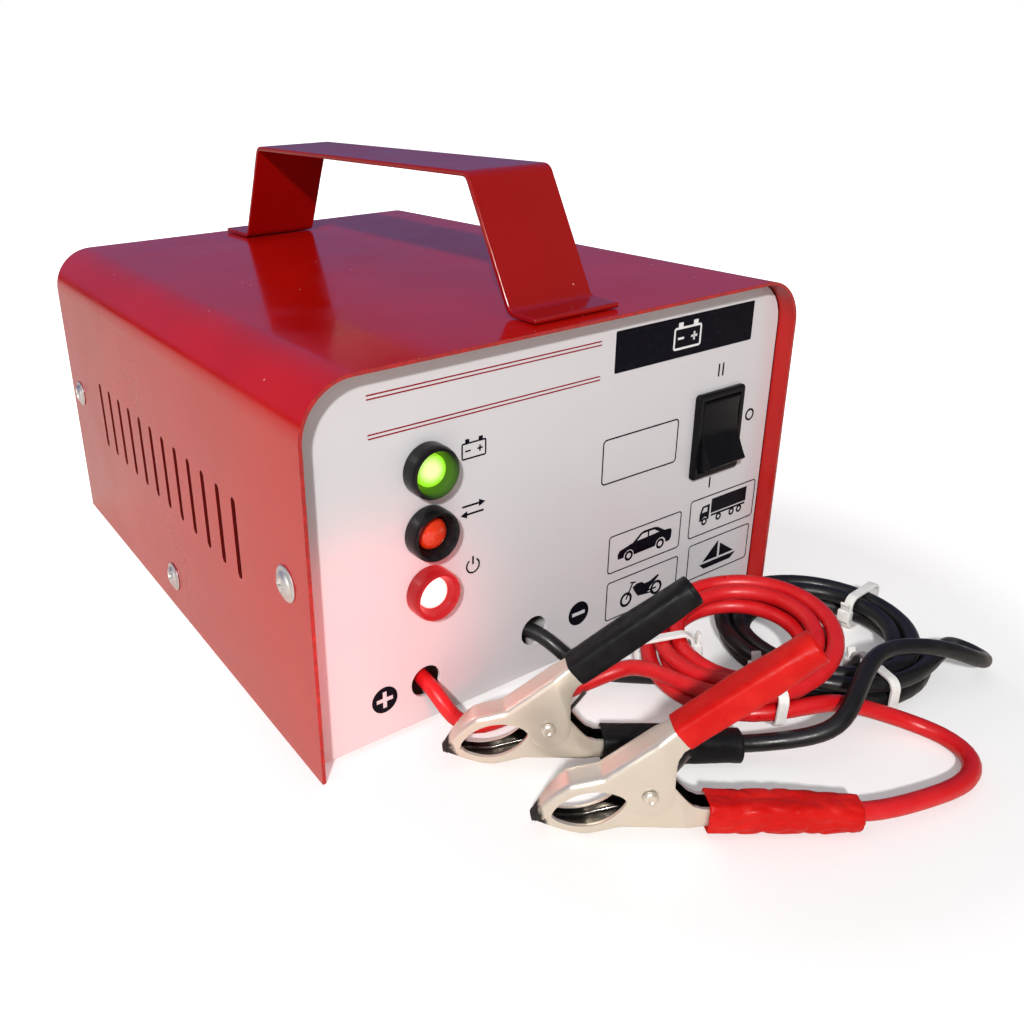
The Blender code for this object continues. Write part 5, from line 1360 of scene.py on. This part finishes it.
def make_clips(looks):
    """Both spring clips. Their arms and rivets are modelled once and copied."""
    arms = {side: make_arm("clip_arm", side) for side in (-1, 1)}
    rivet = make_rivet("clip_rivet")
    fittings = {"red": [], "black": []}
    clips = (("red", RED_CLIP_PIVOT), ("black", BLACK_CLIP_PIVOT))
    for number, (word, pivot) in enumerate(clips):
        place = Matrix.Translation((*pivot, CLIP_PIVOT_HEIGHT)) @ CLIP_TURN
        moving = f"clip_{word}_upper"
        for side, level, body in ((-1, "lower", "case"), (1, "upper", moving)):
            node = f"clip_{word}_{level}"
            arm = copied(arms[side], f"jaw_{word}_{level}", place)
            # the arms' inner faces get a dark metal that is painted shade
            plated = (looks[f"nickel_{word}"], looks["shaded_inside"])
            fit(arm, plated, body, [f"{node}_arm"], smooth=38)
            slack, wrinkles = (0.0001, 0.00004) if side == 1 else (0.0006, 0.00008)
            if (word, level) == ("red", "lower"):
                wrinkles = 0.00034
            seed = number * 7 + side
            sleeve = make_sleeve(f"sleeve_{word}_{level}", side, slack, wrinkles, seed, place)
            vinyl, slot = looks[f"{word}_sleeve"], f"{word}_vinyl"
            fit(sleeve, vinyl, body, [f"{node}_sleeve"], smooth=60)
            fittings[word] += [arm, sleeve]
        pin = copied(rivet, f"rivet_{word}", place)
        fit(pin, looks[f"nickel_{word}"], nodes=[f"clip_{word}_pin"], smooth=35)
        steel, end_turn = looks["spring_steel"], SPRING_TURNS - SPRING_END
        coil = make_spring(f"spring_{word}", place, 0, end_turn - SPRING_GAP, False)
        fit(coil, steel, nodes=[f"clip_{word}_spring"], smooth=60)
        leg = make_spring(f"spring_leg_{word}", place, end_turn, SPRING_TURNS, True)
        fit(leg, steel, moving, smooth=60)
        fittings[word] += [pin, coil, leg]
    for obj in (*arms.values(), rivet):
        bpy.data.objects.remove(obj)
    return fittings


# ---------------------------------------------------------------- ties
def tie_head(edge):
    """The block that the tail goes through, inside the ring."""
    low = (edge - TIE_WIDTH * 0.8, -TIE_WIDTH * 0.75, -TIE_WIDTH * 0.72)
    head = block("head", low, (edge + TIE_SHEET * 0.5, TIE_WIDTH * 0.75, TIE_WIDTH * 0.72))
    soften(head, 0.0004, 3, 50)
    half = TIE_WIDTH * 0.35
    window_low = (edge - TIE_WIDTH * 0.62, -half, 0.0008)
    cut(head, block("window", window_low, (edge - 0.0006, half, 0.003)))
    return head


def tie_tail(edge):
    """The end of the band, cut short above the head."""
    place, half = edge - TIE_WIDTH * 0.45, TIE_WIDTH * 0.46
    tail = loft("tail", [
        [Vector((place + lean, side * half, z)) for side in (-1, 1)]
        for lean, z in ((0, 0.0006), (-0.0001, 0.0024), (-0.0004, 0.0036), (-0.0010, 0.0046))
    ])
    modify(tail, "SOLIDIFY", thickness=TIE_SHEET * 0.9, offset=0)
    soften(tail, 0.0001, 2, 50)
    return tail


def make_tie(name, centre, radius, low, slope, angle, finish):
    """A nylon tie round both layers of a coil, its head inside the ring and its tail bent up."""
    inner = radius - LOOP_PITCH * COIL_TURNS / 2 - CABLE / 2
    outer = radius + CABLE / 2
    middle = (inner + outer) / 2
    height, width = CABLE + LOOP_PITCH, outer - inner
    x = centre[0] + middle * cos(angle)
    y = centre[1] + middle * sin(angle)
    tilt = Matrix.Rotation(-atan2(slope * cos(angle), 1), 4, "Y")
    place = Matrix.Translation((x, y, low + slope * x + height / 2))
    place = place @ Matrix.Rotation(angle, 4, "Z") @ tilt
    rows = []
    half, corner = TIE_WIDTH / 2, 0.0021
    full, worn = GAP + TIE_SHEET, GAP + TIE_SHEET * 0.8
    for side, wall in ((-1, worn), (-0.86, full), (0.86, full), (1, worn), (1, GAP), (-1, GAP)):
        ring = rounded(width + 2 * wall, height + 2 * wall, corner + wall, 8)
        rows.append([Vector((u, side * half, v)) for u, v in ring])
    band = loft(name, rows, closed=True)
    edge = -width / 2 - GAP - TIE_SHEET
    pieces = [band, tie_head(edge), tie_tail(edge)]
    for piece in pieces:
        piece.data.transform(place)
    return fit(join(f"{name}_band", pieces), finish, nodes=[name], smooth=40)


def make_ties(looks):
    """Two ties on each coil."""
    made = {"red": [], "black": []}
    coils = (
        ("red", RED_TIES, RED_COIL_CENTRE, RED_COIL_RADIUS, RED_COIL_LOW, RED_COIL_SLOPE),
        ("black", BLACK_TIES, BLACK_COIL_CENTRE, BLACK_COIL_RADIUS, BLACK_COIL_LOW, 0.0),
    )
    for word, angles, centre, radius, low, slope in coils:
        for number, degrees in enumerate(angles):
            name = f"tie_{word}_{number + 1}"
            tie = make_tie(name, centre, radius, low, slope, radians(degrees), looks["nylon"])
            made[word].append(tie)
    return made


# ---------------------------------------------------------------- more finishes
def metal(name, colour, roughness, grain=0.0004, stretch=(1, 1, 1)):
    """Plain metal with a drawn or plated grain and dull patches."""
    f = Finish(name, colour, roughness, 1.0)
    dull = tuple(part * 0.72 for part in colour)
    f.tint(f.patches(0.006, 5, 0.45, 0.8), colour, dull)
    f.sheen(0.003, 4, roughness * 0.75, roughness * 1.5, end=0.75)
    f.bump((f.noise(grain, 2, place=f.place(stretch=stretch)), 0.000004))
    return f.material


def nickel(name, pivot):
    """Nickel plate on stamped steel: finely brushed, fingered, and scorched black at the teeth."""
    f = Finish(name, (0.78, 0.73, 0.65), 0.2, 0.72)
    centre, turn = (*pivot, CLIP_PIVOT_HEIGHT), (0, -CLIP_LEAN, CLIP_AXIS)
    along = f.axis("X", f.place(centre, turn))
    ragged = f.maths("ADD", along, f.maths("MULTIPLY", f.noise(0.0016, 4), 0.0028))
    scorch = f.reach(ragged, CLIP_TIP + 0.0050, CLIP_TIP + 0.0034)
    stain = f.patches(0.0045, 5, 0.60, 0.85)
    base = f.mix(stain, (0.76, 0.70, 0.61), (0.70, 0.64, 0.55))
    f.tint(scorch, base, (0.035, 0.032, 0.030))
    lines = f.noise(0.00022, 2, place=f.place(centre, turn, stretch=(14, 1, 1)))
    rough = f.reach(f.noise(0.005, 4), 0.35, 0.7, 0.33, 0.42)
    f.use("Roughness", f.maths("ADD", rough, f.maths("MULTIPLY", scorch, 0.25)))
    f.bump((lines, 0.0000022), (f.noise(0.0030, 1), 0.000006))
    return f.material


def soft_vinyl(name, colour, light, roughness=0.36):
    """Soft dipped or extruded vinyl with creases that catch dust."""
    f = Finish(name, colour, roughness, Specular_IOR_Level=0.18)
    f.tint(f.patches(0.006, 4, 0.4, 0.75), colour, light)
    f.sheen(0.0022, 4, roughness - 0.08, roughness + 0.14)
    f.bump((f.noise(0.0018, 3), 0.00009), (f.noise(0.0004, 2), 0.00001))
    return f.material


def lamp_glass(name, height, colour, glow=None, core=None, core_reach=0.0, strength=0.0):
    """A tinted lens. A lit one has a pale core that falls off to its own colour."""
    f = Finish(name, colour, 0.12, Coat_Weight=0.5, Coat_Roughness=0.03)
    f.bump((f.noise(0.0012, 2), 0.00004))
    f.tint(f.noise(0.002, 2), colour, tuple(part * 0.8 for part in colour))
    if strength:
        spot = (LAMP_X - 0.0010, PANEL - 0.0040, height + 0.0010)
        near = f.reach(f.distance(spot), core_reach * 1.9, core_reach * 0.45)
        f.light_up(near, glow, core, strength)
    return f.material


def lamp_holder(name, height, glow=None, reach=0.0, strength=0.0):
    """The black holder of a lamp, with its lamp's light painted on it as a glow where the lamp is on.
    """
    f = Finish(name, (0.005, 0.005, 0.006), 0.24, Specular_IOR_Level=0.28)
    f.tint(f.noise(0.002, 3), (0.004, 0.004, 0.005), (0.009, 0.009, 0.010))
    f.sheen(0.0016, 2, 0.20, 0.27)
    f.bump((f.noise(0.0006, 1), 0.000002))
    # painted light: the holder glows as if lit by its lamp, most near the lens
    if strength:
        away = f.distance((LAMP_X + 0.0012, PANEL - 0.0030, height - 0.0012))
        f.light_up(f.reach(away, reach, reach * 0.55), (0, 0, 0), glow, strength)
    return f.material


def laminations(name):
    """The edges of stacked iron sheets under a thin varnish."""
    f = Finish(name, (0.20, 0.19, 0.18), 0.42, 0.8)
    pitch = 0.0007
    sheets = f.maths("SINE", f.maths("MULTIPLY", f.axis("Y"), 2 * pi / pitch))
    base = f.mix(f.reach(sheets, 0.4, 0.9), (0.24, 0.23, 0.22), (0.07, 0.065, 0.06))
    f.tint(f.patches(0.006, 5, 0.55, 0.8), base, (0.20, 0.09, 0.04))
    f.sheen(0.004, 3, 0.32, 0.6)
    f.bump((sheets, 0.00006))
    return f.material


def tape(name):
    """Amber insulation tape, wrapped in overlapping turns."""
    f = Finish(name, (0.62, 0.36, 0.05), 0.3, Coat_Weight=0.3)
    pitch = 0.009
    wraps = f.maths("FRACT", f.maths("MULTIPLY", f.axis("Z"), 1 / pitch))
    f.tint(f.reach(wraps, 0.0, 0.12), (0.42, 0.22, 0.03), (0.66, 0.40, 0.06))
    f.sheen(0.003, 4, 0.22, 0.42)
    f.bump((wraps, 0.00012), (f.noise(0.004, 3), 0.0001))
    return f.material


def circuit_board(name):
    """Brown paper laminate with a faint weave."""
    f = Finish(name, (0.30, 0.17, 0.06), 0.35)
    weave = {
        "Vector": f.object_place, "Scale": 260.0, "Mortar Size": 0.03,
        "Color1": (0.34, 0.20, 0.07, 1), "Color2": (0.30, 0.165, 0.055, 1),
        "Mortar": (0.26, 0.14, 0.05, 1),
    }
    grid = f.node("TexBrick", weave).outputs["Color"]
    f.tint(f.patches(0.007, 4, 0.45, 0.7), grid, (0.36, 0.22, 0.09))
    f.sheen(0.002, 3, 0.28, 0.45)
    f.bump((f.noise(0.0012, 3), 0.00002))
    return f.material


def plain_finish(name, colour, light, roughness, size=0.004):
    """A mottled finish for small pieces."""
    f = Finish(name, colour, roughness)
    f.tint(f.patches(size, 4, 0.35, 0.7), colour, light)
    f.sheen(size * 0.5, 3, roughness * 0.8, roughness * 1.3)
    f.bump((f.noise(size * 0.2, 2), 0.00001))
    return f.material


def make_finishes():
    """Every finish of the charger, by the name that its pieces ask for."""
    green, orange, red = (LAMP_TOP - place * LAMP_PITCH for place in range(3))
    return {
        "red_lacquer": lacquer("red_lacquer", LACQUER, (0.48, 0.0042, 0.0020)),
        # painted shade: the handle gets a darker copy of the cover's red lacquer for how light falls
        # on it
        "handle_lacquer_shaded": lacquer("handle_lacquer_shaded", (0.27, 0.0012, 0.0010), (0.30, 0.0018, 0.0014)),
        "cover_inside": cover_inside("cover_inside"),
        "white_paint": white_paint("white_paint"),
        "label_film": label_film("label_film"),
        "red_ink": ink("red_ink", (0.26, 0.006, 0.014)),
        "black_ink": ink("black_ink", (0.002, 0.002, 0.006)),
        "white_ink": ink("white_ink", (0.74, 0.74, 0.76)),
        "zinc": metal("zinc_plate", (0.80, 0.80, 0.78), 0.44),
        "tin": metal("tinned_brass", (0.72, 0.70, 0.66), 0.25),
        "steel_strap": metal("steel_strap", (0.50, 0.50, 0.49), 0.36),
        "aluminium": metal("aluminium", (0.70, 0.70, 0.71), 0.38, 0.0003, (1, 1, 18)),
        "spring_steel": metal("spring_steel", (0.16, 0.15, 0.145), 0.34),
        # painted shade: dark metal for the shaded insides of the clips' channels
        "shaded_inside": metal("shaded_inside", (0.10, 0.092, 0.082), 0.26),
        "nickel_red": nickel("nickel_of_red_clip", RED_CLIP_PIVOT),
        "nickel_black": nickel("nickel_of_black_clip", BLACK_CLIP_PIVOT),
        "switch_plastic": black_plastic("switch_plastic", 0.34),
        "rocker_plastic": black_plastic("rocker_plastic", 0.22),
        "rubber": black_plastic("grommet_rubber", 0.55),
        # the lit lamps' holders carry a painted glow of their lamps' light
        "green_holder": lamp_holder("green_holder", green, (0.10, 0.30, 0.01), 0.0066, 0.5),
        "orange_holder": lamp_holder("orange_holder", orange),
        "red_holder": lamp_holder("red_holder", red, (0.62, 0.007, 0.010), 0.0125, 1.0),
        "green_lens": lamp_glass(
            "green_lens", green, (0.10, 0.40, 0.02), (0.33, 0.80, 0.02), (0.95, 1.0, 0.45), 0.0022, 1.0
        ),
        "orange_lens": lamp_glass("orange_lens", orange, (0.62, 0.035, 0.006)),
        "red_lens": lamp_glass(
            "red_lens", red, (0.9, 0.10, 0.08), (1.0, 0.30, 0.26), (1.0, 0.95, 0.93), 0.0040, 1.35
        ),
        "red_cable": cable_vinyl("red_cable_vinyl", (0.54, 0.005, 0.008), (0.62, 0.014, 0.018)),
        "black_cable": cable_vinyl("black_cable_vinyl", (0.006, 0.006, 0.007), (0.012, 0.012, 0.013)),
        "red_sleeve": soft_vinyl("red_sleeve_vinyl", (0.50, 0.004, 0.003), (0.58, 0.012, 0.009)),
        "black_sleeve": soft_vinyl(
            "black_sleeve_vinyl", (0.005, 0.005, 0.006), (0.010, 0.010, 0.011), 0.42
        ),
        "nylon": plain_finish("nylon", (0.78, 0.77, 0.76), (0.70, 0.69, 0.67), 0.4, 0.003),
        "red_moulding": plain_finish("red_moulding", (0.55, 0.012, 0.014), (0.62, 0.02, 0.02), 0.35),
        "lamination": laminations("laminated_iron"),
        "winding_tape": tape("winding_tape"),
        "board": circuit_board("board_laminate"),
        "terminal_green": plain_finish("terminal_green", (0.03, 0.22, 0.09), (0.04, 0.27, 0.11), 0.4),
        "blue_sleeve": plain_finish("capacitor_sleeve", (0.02, 0.05, 0.22), (0.03, 0.07, 0.28), 0.25),
        "glass": plain_finish("fuse_glass", (0.70, 0.72, 0.70), (0.60, 0.62, 0.60), 0.12),
        "epoxy": plain_finish("epoxy_case", (0.016, 0.016, 0.017), (0.03, 0.03, 0.032), 0.5),
        "spacer_nylon": plain_finish("spacer_nylon", (0.72, 0.71, 0.68), (0.66, 0.64, 0.6), 0.42),
    }


KEPT_NODES = (
    ("chassis", "white_paint"), ("board", "board"), ("capacitor", "blue_sleeve"),
    ("heat_sink", "aluminium"), ("thyristor", "epoxy"), ("terminal_block", "terminal_green"),
    ("transformer_core", "lamination"), ("transformer_winding", "winding_tape"),
    ("transformer_strap", "steel_strap"), ("transformer_screw_left", "zinc"),
    ("transformer_screw_right", "zinc"), ("fuse_link", "glass"),
    *((f"board_spacer_{number}", "spacer_nylon") for number in range(1, 5)),
)


def finish_kept_nodes(nodes, looks):
    """The solids that stay as they are get a finish of their own."""
    for name, finish in KEPT_NODES:
        obj = nodes[name]
        obj.data.materials.clear()
        obj.data.materials.append(looks[finish])


# ---------------------------------------------------------------- studio
def make_camera():
    """The camera, set to the photograph's view."""
    data = bpy.data.cameras.new("photo_view")
    data.sensor_width = 36
    data.lens = CAMERA_LENS
    data.shift_x, data.shift_y = CAMERA_SHIFT
    data.clip_start, data.clip_end = 0.01, 50
    camera = bpy.data.objects.new("photo_view", data)
    camera.location = CAMERA_PLACE
    camera.rotation_euler = CAMERA_TURN
    bpy.context.scene.collection.objects.link(camera)
    bpy.context.scene.camera = camera


def make_world():
    """Soft grey light, white behind the charger to the camera, and a dusky sky in its gloss."""
    world = bpy.data.worlds.new("studio")
    bpy.context.scene.world = world
    world.use_nodes = True
    tree = world.node_tree

    def plain(colour, strength=1.0):
        inputs = {"Color": (*colour, 1), "Strength": strength}
        return add_node(tree, "Background", inputs).outputs[0]

    def either(share, first, second):
        return add_node(tree, "MixShader", {0: share, 1: first, 2: second}).outputs[0]

    def reach(value, low, high, **settings):
        inputs = {"Value": value, "From Min": low, "From Max": high}
        return add_node(tree, "MapRange", inputs, **settings).outputs[0]

    ray = add_node(tree, "LightPath").outputs
    bounces = {0: ray["Is Glossy Ray"], 1: ray["Is Transmission Ray"]}
    gloss = add_node(tree, "Math", bounces, operation="MAXIMUM").outputs[0]
    way = add_node(tree, "TexCoord").outputs["Generated"]
    part = add_node(tree, "SeparateXYZ", {0: way}).outputs
    back = reach(part["Y"], 0.35, -0.55, interpolation_type="SMOOTHSTEP")
    low = reach(part["Z"], -0.01, 0.09)
    sky = either(low, plain(DUSK_LOW), either(back, plain(DUSK_BACK), plain(DUSK_FRONT)))
    lit = either(gloss, plain(WORLD_TINT, WORLD_LIGHT), sky)
    seen = either(ray["Is Camera Ray"], lit, plain((1, 1, 1)))
    tree.links.new(seen, tree.nodes["World Output"].inputs["Surface"])


def make_floor():
    """A plain pale floor that is white to the camera but for the charger's shadow."""
    bpy.ops.mesh.primitive_grid_add(
        x_subdivisions=1, y_subdivisions=1, size=8, location=(2, -1, -0.00005)
    )
    floor = bpy.context.object
    floor.name = "floor"
    bpy.ops.object.transform_apply(location=True)
    f = Finish("pale_floor", (0.8, 0.8, 0.8), 0.7, Specular_IOR_Level=0.2)
    seen = f.node("LightPath").outputs["Is Camera Ray"]
    f.tint(seen, (0.80, 0.73, 0.67), (0.80, 0.80, 0.81))
    inputs = {
        "Value": f.distance(NEAR_SPOT), "From Min": 0.10, "From Max": 0.26,
        "To Min": NEAR_LIFT, "To Max": FAR_LIFT,
    }
    lift = f.maths("MULTIPLY", seen, f.node("MapRange", inputs).outputs["Result"])
    glow = f.node("Emission", {"Color": (1, 1, 1, 1), "Strength": lift})
    both = f.node("AddShader", {0: f.shader.outputs[0], 1: glow.outputs[0]})
    f.tree.links.new(both.outputs[0], f.tree.nodes["Material Output"].inputs["Surface"])
    floor.data.materials.append(f.material)


def studio_light(name, kind, spot, aim, power, size, tall=None, colour=(1, 1, 1)):
    """A light at a spot, turned to a point, that the camera doesn't see."""
    data = bpy.data.lights.new(name, kind)
    data.energy = power
    data.color = colour
    if kind == "SPOT":
        data.shadow_soft_size = size
    else:
        data.shape, data.size = "RECTANGLE" if tall else "DISK", size
        if tall:
            data.size_y = tall
    obj = bpy.data.objects.new(name, data)
    obj.location = spot
    obj.rotation_euler = (Vector(aim) - Vector(spot)).to_track_quat("-Z", "Y").to_euler()
    obj.visible_camera = False
    bpy.context.scene.collection.objects.link(obj)
    return obj


def make_lights():
    """A key light from the front left, fills above and behind, and the red lamp's glow."""
    aim = Vector((0, -0.08, 0.05))
    key_way = Vector((-1.0, -1.0, 0.90))
    warm, red = (1.0, 0.985, 0.96), (1.0, 0.05, 0.07)
    studio_light("key_light", "AREA", aim + key_way, aim, KEY_POWER, 0.10, colour=warm)
    studio_light("top_fill", "AREA", (-0.3, -0.2, 1.7), (0, -0.05, 0), TOP_POWER, 1.4, 1.2)
    back_spot = (0.35, 1.3, 0.35)
    back = studio_light("back_fill", "AREA", back_spot, (0, 0.1, 0.05), BACK_POWER, 1.0, 0.6)
    back.visible_glossy = False
    spot, panel_spot = (-0.070, -0.190, 0.060), (-0.066, PANEL, 0.030)
    glow = studio_light("lamp_glow", "SPOT", spot, panel_spot, GLOW_POWER, 0.01, colour=red)
    glow.data.spot_size, glow.data.spot_blend = radians(52), 1.0


def main():
    """Builds the charger's looks on the frame, then the studio round it."""
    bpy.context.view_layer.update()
    bpy.ops.object.select_all(action="DESELECT")
    make_camera()
    looks = make_finishes()
    leads = make_leads(looks)
    fittings = make_clips(looks)
    for word, ties in make_ties(looks).items():
        fittings[word] += ties
    for make in (
        make_cover, make_handle, make_cover_screws, make_panel_film, make_prints, make_lamps,
        make_switch, make_rocker, make_grommet, make_fuse_holder, make_selector,
    ):
        make(looks)
    finish_kept_nodes(frame["nodes"], looks)
    make_floor()
    make_world()
    make_lights()
    bpy.context.scene.view_settings.view_transform = "Standard"


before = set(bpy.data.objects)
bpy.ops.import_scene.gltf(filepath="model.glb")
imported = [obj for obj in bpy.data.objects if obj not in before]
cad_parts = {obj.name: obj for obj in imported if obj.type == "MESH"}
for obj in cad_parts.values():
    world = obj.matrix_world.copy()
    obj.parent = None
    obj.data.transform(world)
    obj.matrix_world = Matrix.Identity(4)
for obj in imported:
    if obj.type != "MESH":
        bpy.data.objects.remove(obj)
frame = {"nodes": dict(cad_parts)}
main()
